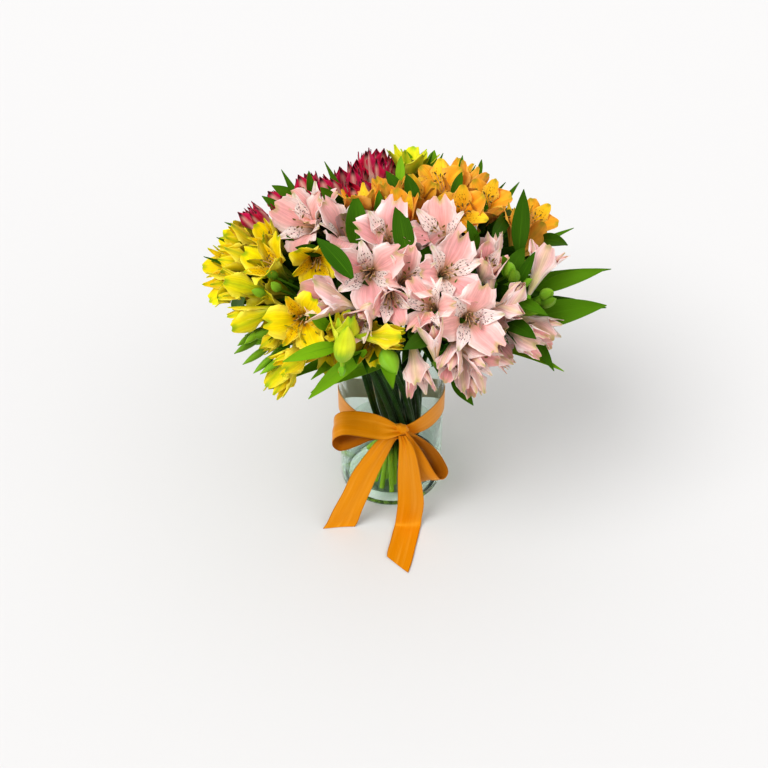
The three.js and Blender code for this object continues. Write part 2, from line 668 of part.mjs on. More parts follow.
/** A flat strip through sections of [middle, across, width]; a closed one joins its ends. */
function strip(sections, closed = false) {
  const shape = new Shape();
  const count = sections.length;
  const rings = sections.map(([middle, across, width], i) => {
    const before = sections[closed ? (i + count - 1) % count : Math.max(i - 1, 0)][0];
    const after = sections[closed ? (i + 1) % count : Math.min(i + 1, count - 1)][0];
    const along = vec(...after).sub(vec(...before)).normalize();
    const wide = vec(...across).normalize();
    const normal = along.clone().cross(wide).normalize();
    const corner = (a, n) => shape.add(vec(...middle).addScaledVector(wide, (a * width) / 2)
      .addScaledVector(normal, (n * RIBBON.thickness) / 2));
    return [corner(-1, -1), corner(1, -1), corner(1, 1), corner(-1, 1)];
  });
  const stretches = closed ? count : count - 1;
  for (let i = 0; i < stretches; i += 1) {
    const [from, to] = [rings[i], rings[(i + 1) % count]];
    // Both broad faces are split along the same diagonal, so that a twisted stretch stays apart.
    [[0, 1], [1, 2]].forEach(([a, b]) => {
      shape.face(from[a], from[b], to[b]);
      shape.face(from[a], to[b], to[a]);
    });
    [[2, 3], [3, 0]].forEach(([a, b]) => {
      shape.face(from[a], from[b], to[a]);
      shape.face(from[b], to[b], to[a]);
    });
  }
  if (!closed) {
    const [first, last] = [rings[0], rings[count - 1]];
    shape.face(first[0], first[2], first[1]);
    shape.face(first[0], first[3], first[2]);
    shape.face(last[0], last[1], last[2]);
    shape.face(last[0], last[2], last[3]);
  }
  return shape;
}

/** The band round the vase, higher in front than behind and gathered in at the knot. */
function ribbonBand() {
  const sections = Array.from({ length: VASE.facets }, (_, k) => {
    const angle = (2 * Math.PI * k) / VASE.facets;
    const [x, y] = [Math.cos(angle), Math.sin(angle)];
    const height = RIBBON.middle - RIBBON.lean * y + RIBBON.saddle * (2 * y * y - 1);
    const aside = (degrees(Math.atan2(x, -y)) - RIBBON.pinchMiddle) / RIBBON.pinchSpread;
    const width = RIBBON.width - RIBBON.pinch * Math.exp(-aside * aside);
    return [[BAND_RADIUS * x, BAND_RADIUS * y, height], [0, 0, 1], width];
  });
  return strip(sections, true);
}

const LEFT_LOOP = [
  [[8, -56, 110.5], [0, 0.6, 0.8], 7], [[-5, -57.8, 112.5], [0, 0.8, 0.6], 14],
  [[-18, -57.8, 114.5], [0, 0.92, 0.39], 20], [[-30, -55.5, 106.5], [0, 0.95, 0.3], 23],
  [[-40, -54.5, 101], [0, 0.95, 0.3], 24], [[-48, -54, 99.5], [0, 0.95, 0.3], 25],
  [[-53.3, -54, 105.5], [0, 0.95, 0.3], 25], [[-52.5, -54.5, 114], [0, 0.95, 0.3], 25],
  [[-47, -55, 119.5], [0, 0.96, 0.28], 25], [[-40, -56, 121.5], [0, 0.96, 0.28], 25],
  [[-30, -56.5, 121], [0, 0.93, 0.37], 25], [[-18, -59, 120.8], [0, 0.87, 0.5], 24],
  [[-6, -59.7, 118], [0, 0.7, 0.71], 20], [[3, -58.5, 115], [0, 0.65, 0.76], 12],
  [[9, -57, 113], [0, 0.6, 0.8], 7],
];
const RIGHT_ACROSS = [0.8, -0.3, 0.52];
const RIGHT_LOOP = [
  [[12, -56, 110], RIGHT_ACROSS, 7], [[23.6, -53, 94], RIGHT_ACROSS, 18],
  [[32.7, -51.4, 79.2], RIGHT_ACROSS, 24], [[40.4, -50.5, 61.7], RIGHT_ACROSS, 25],
  [[43.5, -52.5, 51.5], RIGHT_ACROSS, 25], [[41, -56.5, 47.5], RIGHT_ACROSS, 25],
  [[35.8, -59, 48], RIGHT_ACROSS, 25], [[29.5, -60.2, 59], RIGHT_ACROSS, 25],
  [[21, -60.4, 80], RIGHT_ACROSS, 24], [[16.4, -59.6, 98], RIGHT_ACROSS, 15],
  [[12, -57.6, 110.5], RIGHT_ACROSS, 7],
];
const RIGHT_TAIL = [
  [[9.6, -60.2, 109.3], [1, 0, 0], 7], [[12.5, -66, 104], [1, 0, 0], 11],
  [[14.5, -68.8, 92], [1, 0, 0], 16], [[16.2, -69.6, 66.5], [1, 0, 0], 21],
  [[18.4, -70.3, 31], [1, 0, 0], 25], [[16.9, -71.2, 9], [1, 0, 0], 25],
  [[15.8, -75, 1.6], [1, -0.08, 0], 25], [[13.8, -84, 0.7], [1, -0.16, 0], 25],
  [[9.6, -104, 0.7], [1, -0.3, 0], 25], [[5.5, -122.5, 0.7], [0.72, -0.7, 0], 27.5],
];
const LEFT_TAIL = [
  [[5.2, -57.6, 105.6], [1, 0, -0.3], 8], [[-4.8, -58.6, 101.5], [0.95, 0.1, 0], 17],
  [[-15, -60.6, 82.6], [0.95, 0.06, -0.05], 21], [[-24.7, -64, 63.8], [0.95, 0.04, -0.05], 25],
  [[-33, -68, 42], [0.97, 0.03, -0.03], 26], [[-41.5, -72, 22], [1, 0.02, 0], 28],
  [[-47, -74.5, 7], [1, 0.06, 0], 30], [[-50.5, -76.5, 0.8], [1, 0.08, 0], 31],
];

function bow() {
  const knot = new THREE.SphereGeometry(1, ...KNOT.facets).scale(...KNOT.size)
    .translate(...KNOT.middle);
  return geometryOf(fuse([solidOf(knot), strip(LEFT_LOOP).solid(), strip(RIGHT_LOOP).solid()]));
}

// ---------------------------------------------------------------- the bouquet

const group = new THREE.Group();
const blooms = placeBlooms();
const stems = placeStems(blooms);

group.add(node('vase', vase(), COLOURS.glass, 0.05));
group.add(node('water', water(stems), COLOURS.water, 0.02));
SPRAYS.forEach(({ name }, index) => {
  const own = blooms.filter((bloom) => bloom.spray === index);
  const colour = COLOURS[name.split('_')[0]];
  group.add(node(`stem_${name}`, leafyStem(stems[index], name), COLOURS.leaf, 0.5));
  group.add(node(`head_${name}`, flowerHead(stems[index], own, blooms), colour, 0.55));
});
group.add(node('ribbon_band', geometryOf(ribbonBand().solid()), COLOURS.ribbon, 0.4));
group.add(node('ribbon_bow', bow(), COLOURS.ribbon, 0.4));
group.add(node('ribbon_tail_left', geometryOf(strip(LEFT_TAIL).solid()), COLOURS.ribbon, 0.4));
group.add(node('ribbon_tail_right', geometryOf(strip(RIGHT_TAIL).solid()), COLOURS.ribbon, 0.4));

export default group;
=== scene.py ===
"""Dresses a hand-tied bunch of alstroemeria: petals, leaves, stems, glass, water and satin ribbon.

Lengths are millimetres until a mesh is finished, when it is scaled to metres. +Z is up, the origin is the
middle of the vase's underside, and the bow faces -Y.
"""

import logging
from dataclasses import dataclass, field
from enum import Enum
from math import atan2, cos, degrees, exp, hypot, inf, pi, radians, sin, tan, tanh
from typing import Callable, Sequence

import bmesh
import bpy
from bmesh.types import BMFace, BMVert
from bpy.types import Material, Mesh, Node, NodeSocket, NodeTree, Object
from mathutils import Matrix, Quaternion, Vector


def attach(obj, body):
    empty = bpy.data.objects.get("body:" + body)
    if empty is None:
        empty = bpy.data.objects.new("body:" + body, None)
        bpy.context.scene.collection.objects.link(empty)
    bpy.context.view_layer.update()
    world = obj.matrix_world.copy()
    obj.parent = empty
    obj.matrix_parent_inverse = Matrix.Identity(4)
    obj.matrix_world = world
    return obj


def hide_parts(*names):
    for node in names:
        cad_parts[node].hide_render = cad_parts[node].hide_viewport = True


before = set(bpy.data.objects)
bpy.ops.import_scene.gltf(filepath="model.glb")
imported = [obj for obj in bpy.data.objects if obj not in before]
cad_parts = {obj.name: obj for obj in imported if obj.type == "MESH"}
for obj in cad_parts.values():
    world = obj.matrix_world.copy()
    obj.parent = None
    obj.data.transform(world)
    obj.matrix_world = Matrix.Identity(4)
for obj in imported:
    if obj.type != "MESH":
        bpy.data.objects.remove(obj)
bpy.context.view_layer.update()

log = logging.getLogger("bouquet")

MM = 0.001
WELD = 1e-3
UP = Vector((0, 0, 1))

Pair = tuple[float, float]
Triple = tuple[float, float, float]
Vectors = tuple[Vector, Vector, Vector]
Place = Callable[[float, float], Vector]


# ---------------------------------------------------------------- driving dimensions

GAP = 0.3
HEAD = Vector((0, 0, 250))
DOME = Vector((160, 135, 78))
DOME_REACH = 0.95
FOCUS = Vector((0, 0, 180))
CUP = 0.22


@dataclass(frozen=True)
class VaseSize:
    """The glass cylinder and its water."""

    radius: float = 50
    height: float = 180
    wall: float = 3
    bottom: float = 12
    foot: float = 46
    bevel: float = 1.5
    water: float = 55


@dataclass(frozen=True)
class StemPlan:
    """How the stems run from the vase's bottom, through the waist of the bunch, to their hubs."""

    radius: float = 2.5
    foot: float = 12.3
    waist: Vector = field(default_factory=lambda: Vector((12, -6, 64)))
    share: float = 0.16
    twist: float = 65
    spacing: float = 6.1
    low_spread: float = 2.1
    low_height: float = 118
    high_spread: float = 0.25
    high_height: float = 190
    foot_middle: Vector = field(default_factory=lambda: Vector((-6, -6, 12.3)))
    foot_spread: float = 1.8
    foot_twist: float = 55
    hub_depth: float = 30
    hub_height: float = 6
    hub_heart: float = 0.6
    lead_steps: int = 4


VASE = VaseSize()
STEM = StemPlan()


class BloomKind(Enum):
    """How far a bloom has opened."""

    OPEN = "open"
    TRUMPET = "trumpet"
    SLIM = "slim"
    BUD = "bud"


@dataclass(frozen=True)
class BloomForm:
    """The sizes of one kind of bloom. A section is (share of the blade's length, share of its width)."""

    tepals: int
    size: float
    throat_radius: float
    throat_height: float
    throat_turn: float
    blade: float
    flare: float
    outer_width: float
    inner_width: float
    outer: tuple[Pair, ...] = ()
    inner: tuple[Pair, ...] = ()


FORMS = {
    BloomKind.OPEN: BloomForm(6, 30, 6.2, 17, 22, 33, 84, 24, 14, ((0.42, 0.86), (0.8, 0.86)), ((0.62, 1),)),
    BloomKind.TRUMPET: BloomForm(6, 19, 5.6, 18, 14, 30, 46, 15, 9, ((0.62, 1),)),
    BloomKind.SLIM: BloomForm(3, 9, 5.5, 26, 6, 18, 12, 10, 10),
}
BUD_SIZE = 5
BUD_RADIUS = 4.4
BUD_LENGTH = 22
MOUTH_HEIGHT = 36
INNER_FLARE = 0.82
RIB_STEPS = 8
RIB_CURL = 0.9

FILL_NEAREST = 30
FILL_FURTHEST = 60
FILL_REACH = 0.84
FILL_ROOM = 21

SETTLE_ROUNDS = 40
SETTLE_CLOSENESS = 0.74
SETTLE_SHARE = 0.35
SETTLE_MARGIN = 6
FLARE_STEP = 8
LEAST_FLARE = 4
SHRINK = 0.88
SHRINKS = 4
ROLL = 120

# Each spray: its name and its blooms as (kind, azimuth, elevation) on the dome, in degrees.
# Azimuth 0 is the front (-Y) and grows towards +X.
SPRAYS: tuple[tuple[str, tuple[tuple[str, float, float], ...]], ...] = (
    ("yellow_1", (("trumpet", -94, 32), ("trumpet", -79, 29), ("trumpet", -89, 47))),
    ("yellow_2", (("trumpet", -66, 25), ("trumpet", -74, 9), ("trumpet", -56, 9))),
    ("yellow_3", (("open", -33, 22), ("slim", -21, 31), ("trumpet", -16, 17), ("trumpet", -2, 18))),
    ("yellow_4", (("open", -65, 43), ("open", -43, 50))),
    ("yellow_5", (("trumpet", -35, 1), ("trumpet", -38, -24), ("slim", -46, -9), ("bud", -52, 1),
                  ("bud", -60, -7), ("bud", -56, -18), ("bud", -48, -23))),
    ("yellow_6", (("open", -108, 14), ("trumpet", -92, 6), ("trumpet", -112, -10))),
    ("pink_1", (("open", -63, 57), ("open", -45, 70), ("trumpet", -86, 65))),
    ("pink_2", (("open", -13, 52), ("open", -8, 68), ("trumpet", 6, 54))),
    ("pink_3", (("open", -28, 40), ("trumpet", -17, 36), ("trumpet", -6, 35))),
    ("pink_4", (("open", 34, 72), ("open", 27, 54), ("trumpet", 42, 50))),
    ("pink_5", (("open", 27, 28), ("trumpet", 9, 38), ("trumpet", 13, 20))),
    ("pink_6", (("trumpet", 18, 3), ("trumpet", 28, 1), ("trumpet", 27, -20), ("slim", 42, -20),
                ("trumpet", 8, -6))),
    ("pink_7", (("trumpet", 71, 31), ("slim", 70, 54), ("slim", 58, 45), ("slim", 48, 31),
                ("slim", 44, 21), ("bud", 60, 30))),
    ("pink_8", (("trumpet", 62, -12), ("trumpet", 49, -4), ("bud", 66, 10), ("bud", 56, 12))),
    ("orange_1", (("trumpet", -100, 82), ("trumpet", 175, 84), ("trumpet", 95, 86))),
    ("orange_2", (("open", 104, 74), ("open", 150, 60), ("trumpet", 140, 74))),
    ("orange_3", (("open", 101, 60), ("open", 121, 46), ("trumpet", 140, 45))),
    ("orange_4", (("open", 112, 23), ("trumpet", 104, 43), ("trumpet", 97, 4))),
    ("orange_5", (("trumpet", 153, 38), ("open", 134, 22), ("open", 125, -2), ("trumpet", 151, 8))),
    ("lime_1", (("trumpet", 169, 52), ("trumpet", 176, 37), ("trumpet", 162, 36))),
    ("lime_2", (("open", 173, 14), ("trumpet", -171, -4), ("trumpet", 158, -12))),
    ("crimson_1", (("slim", -100, 38), ("slim", -94, 51), ("slim", -108, 45), ("slim", -105, 31))),
    ("crimson_2", (("slim", -118, 54), ("slim", -121, 64), ("slim", -134, 60), ("slim", -128, 73))),
    ("crimson_3", (("slim", -157, 51), ("slim", -152, 63), ("slim", -143, 72), ("slim", -168, 61))),
    ("crimson_4", (("slim", -168, 41), ("slim", -178, 46), ("slim", -168, 56), ("slim", -155, 38))),
    ("crimson_5", (("slim", -122, 35), ("slim", -135, 43), ("slim", -130, 23), ("slim", -146, 30),
                   ("slim", -116, 17))),
    ("crimson_6", (("slim", -155, 14), ("slim", -140, 7), ("slim", -168, 20), ("slim", -128, -5),
                   ("slim", -150, -9))),
)

@dataclass(frozen=True)
class Stance:
    """The way that one bloom points, how far it opens in degrees, and how far it stands from its usual place.

    Both the way and the shift, in millimetres, are given to the right, up the bunch and out of its front.
    """

    way: Triple
    flare: float
    shift: Triple = (0, 0, 0)
    size: float = 1
    lime: bool = False


# Blooms that don't look straight out of the bunch, by spray and by their place in it.
STANCES: dict[str, dict[int, Stance]] = {
    "pink_1": {0: Stance((-0.5, 0.15, 0.85), 74), 1: Stance((0.15, 0.45, 0.85), 66),
               2: Stance((-0.1, 0.5, 0.8), 56, (-14, -6, 0))},
    "pink_2": {0: Stance((-0.05, -0.1, 1), 80), 1: Stance((-0.05, 0.4, 0.9), 56, (-9, 4, 0)),
               2: Stance((0.3, 0.25, 0.9), 58)},
    "pink_3": {0: Stance((-0.85, 0.2, 0.4), 26), 1: Stance((-0.35, -0.5, 0.75), 20),
               2: Stance((0.1, -0.5, 0.85), 24, (0, 6, 0))},
    "pink_4": {0: Stance((-0.25, 0.4, 0.85), 60, (-8, 0, 0)), 1: Stance((0.3, 0.15, 0.95), 76),
               2: Stance((0.3, 0.55, 0.75), 10)},
    "pink_5": {0: Stance((0.1, -0.15, 1), 82), 1: Stance((-0.3, 0.2, 0.9), 64),
               2: Stance((-0.15, 0.7, 0.65), 3, (0, 8, 0))},
    "pink_6": {0: Stance((-0.2, -0.75, 0.6), -2), 1: Stance((0.75, -0.45, 0.5), 14),
               2: Stance((0.2, -0.9, 0.35), -4, size=1.08), 4: Stance((0.15, -0.9, 0.4), 12)},
    "pink_7": {0: Stance((0.4, 0.9, 0.1), 36, (4, 6, 0)), 1: Stance((-0.05, 1, 0.25), 6),
               2: Stance((0, 1, 0.2), -16, (-16, -4, 0)), 3: Stance((0.5, 0.6, 0.6), -24, (0, -4, 0), 1.15),
               4: Stance((0.8, -0.3, 0.45), -24)},
    "pink_8": {0: Stance((0.85, -0.5, 0.2), 20), 1: Stance((0.8, -0.5, 0.3), 10)},
    "yellow_1": {0: Stance((-0.9, 0.3, 0.35), 14, (-2, -7, 3)), 1: Stance((-1, 0.1, 0.2), 8, (-2, -5, 0)),
                 2: Stance((-0.6, 0.45, 0.6), 20, (2, -8, 4), 0.95)},
    "yellow_2": {0: Stance((-0.95, 0.15, 0.25), 18, (0, 2, 0)), 1: Stance((-0.9, -0.35, 0.25), 24),
                 2: Stance((-0.95, -0.25, 0.2), 6)},
    "yellow_3": {0: Stance((-0.1, -0.1, 1), 72, (17, 5, 9), 0.9),
                 2: Stance((0.05, 0.92, 0.35), 7, (0, 24, 4), 0.95, lime=True),
                 3: Stance((0.98, -0.05, 0.2), 2, (9, 8, 3), 0.85)},
    "yellow_4": {0: Stance((-0.55, 0.4, 0.7), 40, size=0.92),
                 1: Stance((0.1, -0.45, 0.85), 56, (5, -12, 0), 0.85)},
    "yellow_5": {0: Stance((-0.8, -0.5, 0.3), 6, (-2, 3, 0)),
                 1: Stance((-0.55, -0.8, 0.1), -4, (-8, -6, 0), 1.1)},
    "yellow_6": {0: Stance((-0.85, 0.3, 0.3), 24, (0, -13, 0), 0.95), 1: Stance((-0.9, 0.1, 0.4), 30)},
    "orange_2": {0: Stance((-0.1, 0.25, 0.95), 72, (-20, -3, 0)), 1: Stance((0, 0.6, 0.75), 60),
                 2: Stance((-0.1, 0.3, 0.9), 40, (0, -10, -4), 0.9)},
    "orange_3": {0: Stance((0.1, 0.15, 0.95), 72, (-22, 2, 2)),
                 1: Stance((0.1, 0.4, 0.9), 64, (-10, -2, 0), 0.95)},
    "orange_4": {0: Stance((0.3, 0.35, 0.85), 54, (0, 2, 0), 0.88),
                 1: Stance((0.1, 0.9, 0.3), 16, (-6, 0, -6)),
                 2: Stance((0.3, -0.2, 0.5), 14, (-24, -2, -12), 0.85)},
    "orange_5": {0: Stance((0, 0.8, 0.6), 40), 1: Stance((0.2, 0.7, 0.6), 50, (-12, -3, 0), 0.9),
                 2: Stance((0.5, 0.5, 0.6), 50, (-9, -3, -5), 0.85)},
    "crimson_3": {0: Stance((-0.15, 0.95, 0.25), 2, (8, -9, 2), 1.2),
                  1: Stance((-0.1, 0.9, 0.4), -6, (2, -3, 3), 1.05),
                  3: Stance((0.05, 0.95, 0.3), 2, (7, 2, 2), 1.1)},
    "crimson_4": {0: Stance((-0.1, 1, 0.15), -10, (0, 1, 0), 1.1),
                  1: Stance((0.05, 1, 0.15), -4, (3, -3, 0), 1.1),
                  2: Stance((0.05, 1, 0.15), 2, (4, 7, 0), 1.15),
                  3: Stance((-0.3, 0.9, 0.3), -4, (3, -6, 0), 1.1)},
    "lime_1": {0: Stance((0, 0.95, 0.3), 34, (0, 6, 3)), 1: Stance((-0.1, 0.95, 0.3), 22, (10, 2, 3), 0.9),
               2: Stance((0.1, 0.9, 0.4), 34, (-8, 4, 3))},
    "lime_2": {0: Stance((0.1, 0.8, 0.6), 40, (0, 5, 0))},
}

RIGHT = Vector((1, 0, 0))
RISE = Vector((0, 0.681, 0.733))
FRONT = Vector((0, -0.733, 0.681))

# Large leaves by spray: the share of the stem's lead where one grows, its tip's azimuth, elevation and
# reach, and its width.
LEAVES: dict[str, tuple[tuple[float, float, float, float, float], ...]] = {
    "crimson_1": ((0.8, -137, 34, 1.1, 13), (0.85, -118, 4, 1.08, 14)),
    "crimson_2": ((0.75, -114, 60, 1.04, 11),),
    "crimson_3": ((0.95, -120, 67, 1.02, 11), (0.8, -146, 52, 1.08, 11)),
    "crimson_4": ((0.75, -168, 30, 1.08, 12),),
    "crimson_5": ((0.6, -134, -22, 1.08, 15),),
    "crimson_6": ((0.6, -152, -28, 1.05, 16), (0.8, -165, 2, 1.12, 14)),
    "yellow_1": ((0.7, -97, 20, 1.02, 12),),
    "yellow_2": ((0.7, -86, 18, 1.06, 11),),
    "yellow_4": ((0.85, -54, 59, 0.92, 11),),
    "yellow_3": ((0.75, -24, -8, 1.02, 14), (0.6, -30, -36, 1.06, 15)),
    "yellow_5": ((0.65, -42, -38, 1.04, 12),),
    "yellow_6": ((0.8, -100, -26, 1.06, 15), (0.75, -122, -16, 1.12, 14)),
    "pink_1": ((0.8, -95, 77, 1.06, 14),),
    "pink_3": ((0.8, -36, 60, 1.02, 16),),
    "pink_4": ((0.8, 14, 80, 1.04, 15), (0.85, 60, 60, 1.03, 10)),
    "pink_5": ((0.65, -7, 9, 0.98, 16),),
    "pink_6": ((0.8, 30, -44, 1.08, 15), (0.75, 24, -31, 0.9, 14)),
    "pink_7": ((0.7, 127, 34, 1.07, 16), (0.75, 87, 7, 1.19, 17)),
    "pink_8": ((0.8, 75, -3, 1.18, 22), (0.7, 54, -22, 1.2, 14), (0.75, 72, -34, 1.1, 15)),
    "orange_4": ((0.65, 100, 22, 1.08, 13), (0.7, 104, -22, 1.1, 15)),
    "orange_3": ((0.8, 130, 36, 1.02, 10),),
    "orange_5": ((0.65, 150, 27, 1.08, 11), (0.6, 132, -26, 1.1, 15)),
    "lime_1": ((0.75, 158, 46, 1.1, 12), (0.65, 162, 48, 1.1, 11)),
    "lime_2": ((0.6, 168, -30, 1.08, 15), (0.65, -174, -18, 1.12, 14)),
}

# Leaves and buds that stand out from the bunch: root and tip as (azimuth, elevation, reach) on the dome,
# then a leaf's width and the lightness of its green, or a bud's radius and the colour that its tip shows.
STRAY_LEAVES: tuple[tuple[Triple, Triple, float, float], ...] = (
    ((-30, 63, 0.8), (-84, 80, 1.1), 19, 0.05), ((9, 58, 0.92), (10, 84, 1.12), 17, 0.05),
    ((78, 32, 0.8), (107, 50, 1.14), 15, 0.05), ((-17, 50, 1.06), (-43, 61, 1.15), 15, 0.0),
    ((58, 53, 0.85), (61, 66, 1.05), 10, 0.1), ((72, 5, 0.8), (78, 18, 1.2), 13, 0.25),
    ((62, -14, 0.79), (71, 4, 1.19), 22, 0.2), ((23, -29, 0.9), (26, -33, 1.14), 11, 0.1),
    ((59, -15, 0.87), (52, -22, 1.16), 10, 0.1), ((-18, 9, 0.85), (-30, 7, 1.1), 12, 0.8),
    ((-9, 8, 0.85), (-26, -26, 1.1), 14, 0.55), ((56, 33, 0.84), (75, 40, 0.93), 14, 0.1),
    ((-3, 3, 0.8), (0, -2, 1.0), 12, 0.5), ((15, 15, 0.8), (3, 21, 1.02), 14, 0.05),
    ((47, 6, 0.8), (43, 10, 1.02), 14, 0.05), ((-117, 49, 0.85), (-116, 48, 1.08), 11, 0.2),
    ((-120, 54, 0.85), (-127, 60, 1.12), 7, 0.1), ((-105, 46, 0.85), (-107, 47, 1.06), 8, 0.1),
    ((-110, 68, 0.85), (-109, 68, 1.06), 10, 0.2), ((-30, 81, 0.85), (-112, 86, 1.08), 9, 0.1),
    ((-47, 55, 0.85), (-51, 54, 1.03), 10, 0.05), ((103, 15, 0.86), (82, 31, 1.08), 12, 0.05),
    ((149, 39, 0.95), (152, 40, 1.11), 4, 0.1), ((141, 36, 0.95), (145, 38, 1.12), 5, 0.1),
    ((162, 41, 0.9), (163, 42, 1.11), 10, 0.6),
    ((171, 41, 0.9), (173, 50, 1.08), 9, 0.8), ((56, 32, 0.85), (52, 49, 1.05), 10, 0.25),
    ((52, 21, 0.85), (50, 18, 1.05), 10, 0.15), ((16, 53, 0.78), (33, 65, 0.86), 14, 0.05),
    ((-23, 18, 0.85), (-27, 32, 1.0), 10, 0.6), ((77, 49, 0.82), (112, 38, 0.9), 13, 0.05),
    ((-71, -8, 0.9), (-57, 20, 0.96), 13, 0.1), ((146, 84, 0.9), (189, 79, 1.13), 11, 0.05),
    ((106, 82, 0.9), (156, 81, 1.14), 12, 0.05), ((169, 78, 0.95), (174, 66, 1.13), 8, 0.7),
    ((113, 68, 0.92), (126, 66, 1.13), 9, 0.1), ((58, 27, 0.85), (66, 42, 1.04), 9, 0.05),
)
STRAY_BUDS: tuple[tuple[Triple, Triple, float, str], ...] = (
    ((-57, -17, 0.86), (-55, -17, 1.06), 3.4, "green"), ((-51, -19, 0.88), (-50, -19, 1.08), 3.2, "green"),
    ((-44, -23, 0.88), (-44, -22, 1.07), 3.2, "green"), ((-54, -7, 0.85), (-48, -1, 1.02), 3.2, "green"),
    ((-59, -15, 0.87), (-53, -9, 1.02), 3.0, "green"), ((-47, -21, 0.9), (-47, -24, 1.09), 3.0, "green"),
    ((-57, 33, 0.85), (-55, 39, 1.0), 4.2, "green"), ((-51, 29, 0.85), (-49, 36, 1.0), 4.0, "green"),
    ((-56, 22, 0.85), (-54, 28, 1.0), 4.0, "green"), ((58, 34, 0.85), (54, 45, 1.02), 5.4, "green"),
    ((57, 30, 0.85), (53, 41, 1.02), 5.2, "green"), ((66, 10, 0.87), (59, 24, 1.04), 5.0, "green"),
    ((66, 3, 0.87), (58, 20, 1.04), 4.8, "green"), ((-10, 29, 0.85), (-8, 40, 1.02), 7.5, "pink"),
    ((-16, 4, 0.93), (-14, 30, 1.06), 8.8, "lime"), ((-3, 10, 0.85), (1, 0, 0.97), 8.0, "green"),
)


# ---------------------------------------------------------------- small helpers

def seeded(seed: int) -> Callable[[], float]:
    """Makes a small generator that gives the same draws on every run.

    Args:
        seed: where the generator starts.

    Returns:
        A function whose every call gives the next draw, from 0 to 1.
    """
    whole = 0xFFFFFFFF
    state = seed

    def draw() -> float:
        """The next draw."""
        nonlocal state
        state = (state + 0x6D2B79F5) & whole
        mixed = ((state ^ (state >> 15)) * (1 | state)) & whole
        mixed = ((mixed + (((mixed ^ (mixed >> 7)) * (61 | mixed)) & whole)) & whole) ^ mixed
        return (mixed ^ (mixed >> 14)) / (whole + 1)

    return draw


def smoothstep(low: float, high: float, value: float) -> float:
    """A soft step from 0 at low to 1 at high."""
    share = min(max((value - low) / (high - low), 0), 1)
    return share * share * (3 - 2 * share)


def blend(start: float, end: float, share: float) -> float:
    """The number at a share of the way from start to end."""
    return start + (end - start) * share


def paint(code: str) -> tuple[float, float, float, float]:
    """A hex colour code as a linear colour for a shader socket."""
    parts = [int(code[i:i + 2], 16) / 255 for i in (0, 2, 4)]
    linear = [part / 12.92 if part <= 0.04045 else ((part + 0.055) / 1.055) ** 2.4 for part in parts]
    return linear[0], linear[1], linear[2], 1.0


def times(one: Vector, other: Vector) -> Vector:
    """The product of two vectors, axis by axis."""
    return Vector((one.x * other.x, one.y * other.y, one.z * other.z))


def over(one: Vector, other: Vector) -> Vector:
    """One vector divided by another, axis by axis."""
    return Vector((one.x / other.x, one.y / other.y, one.z / other.z))


def along_bunch(shares: Sequence[float]) -> Vector:
    """A vector from its shares to the right, up the bunch and out of its front."""
    return RIGHT * shares[0] + RISE * shares[1] + FRONT * shares[2]


def about_up(point: Vector, angle: float) -> Vector:
    """A point turned about the vertical axis by an angle in degrees."""
    return Quaternion(UP, radians(angle)) @ point


# ---------------------------------------------------------------- where everything stands

@dataclass
class Bloom:
    """One bloom or bud and its place on the dome."""

    spray: int
    kind: BloomKind
    size: float
    roll: float
    mouth: Vector
    axis: Vector = field(default_factory=UP.copy)

    def base(self) -> Vector:
        """Where the bloom leaves its pedicel, below its mouth along its axis."""
        depth = BUD_LENGTH if self.kind is BloomKind.BUD else MOUTH_HEIGHT
        return self.mouth - self.axis * depth

    def matrix(self, size: float = 1) -> Matrix:
        """The bloom's own frame: its base at the origin and its axis along Z."""
        turn = UP.rotation_difference(self.axis) @ Quaternion(UP, radians(self.roll))
        return Matrix.Translation(self.base()) @ turn.to_matrix().to_4x4() @ Matrix.Scale(size, 4)


@dataclass
class Stem:
    """One stem: from its foot, through the waist, along its lead to its hub."""

    hub: Vector
    waist: Vector
    foot: Vector = field(default_factory=Vector)
    low: Vector = field(default_factory=Vector)
    high: Vector = field(default_factory=Vector)

    def lead(self, share: float) -> Vector:
        """The point at a share of the lead from the waist to the hub."""
        rest = 1 - share
        return (self.waist * rest ** 3 + self.low * (3 * rest * rest * share)
                + self.high * (3 * rest * share * share) + self.hub * share ** 3)

    def heading(self) -> Vector:
        """The stem's direction where it meets the hub."""
        return (self.hub - self.lead(1 - 1 / STEM.lead_steps)).normalized()


@dataclass(frozen=True)
class Fit:
    """How far one tepal opens and how large it is, so that it clears its neighbours."""

    flare: float
    blade: float
    width: float


def dome_point(azimuth: float, elevation: float, reach: float = DOME_REACH) -> Vector:
    """The point of the dome at an azimuth and an elevation, in degrees."""
    around = radians(azimuth)
    rise = radians(elevation)
    unit = Vector((cos(rise) * sin(around), -cos(rise) * cos(around), sin(rise)))
    return times(unit, DOME) * reach + HEAD


def bloom_axis(mouth: Vector) -> Vector:
    """Between the line from the focus and the dome's own outward direction."""
    outward = over(over(mouth - HEAD, DOME), DOME).normalized()
    return ((mouth - FOCUS).normalized() + outward).normalized()


def rib_point(form: BloomForm, fit: Fit, share: float) -> Triple:
    """A point of a tepal's rib beyond the throat.

    Args:
        form: the bloom's sizes.
        fit: the tepal's own opening and length.
        share: how far along the blade, from 0 at the throat to 1 at the tip.

    Returns:
        The distance from the axis, the height and the turn away from the axis.
    """
    def turn_at(u: float) -> float:
        """The rib's turn at a share of the blade."""
        return radians(form.throat_turn + (fit.flare - form.throat_turn) * u ** RIB_CURL)

    out = form.throat_radius
    height = form.throat_height
    for k in range(RIB_STEPS):
        turn = turn_at(share * (k + 0.5) / RIB_STEPS)
        out += fit.blade * share * sin(turn) / RIB_STEPS
        height += fit.blade * share * cos(turn) / RIB_STEPS
    return out, height, turn_at(share)


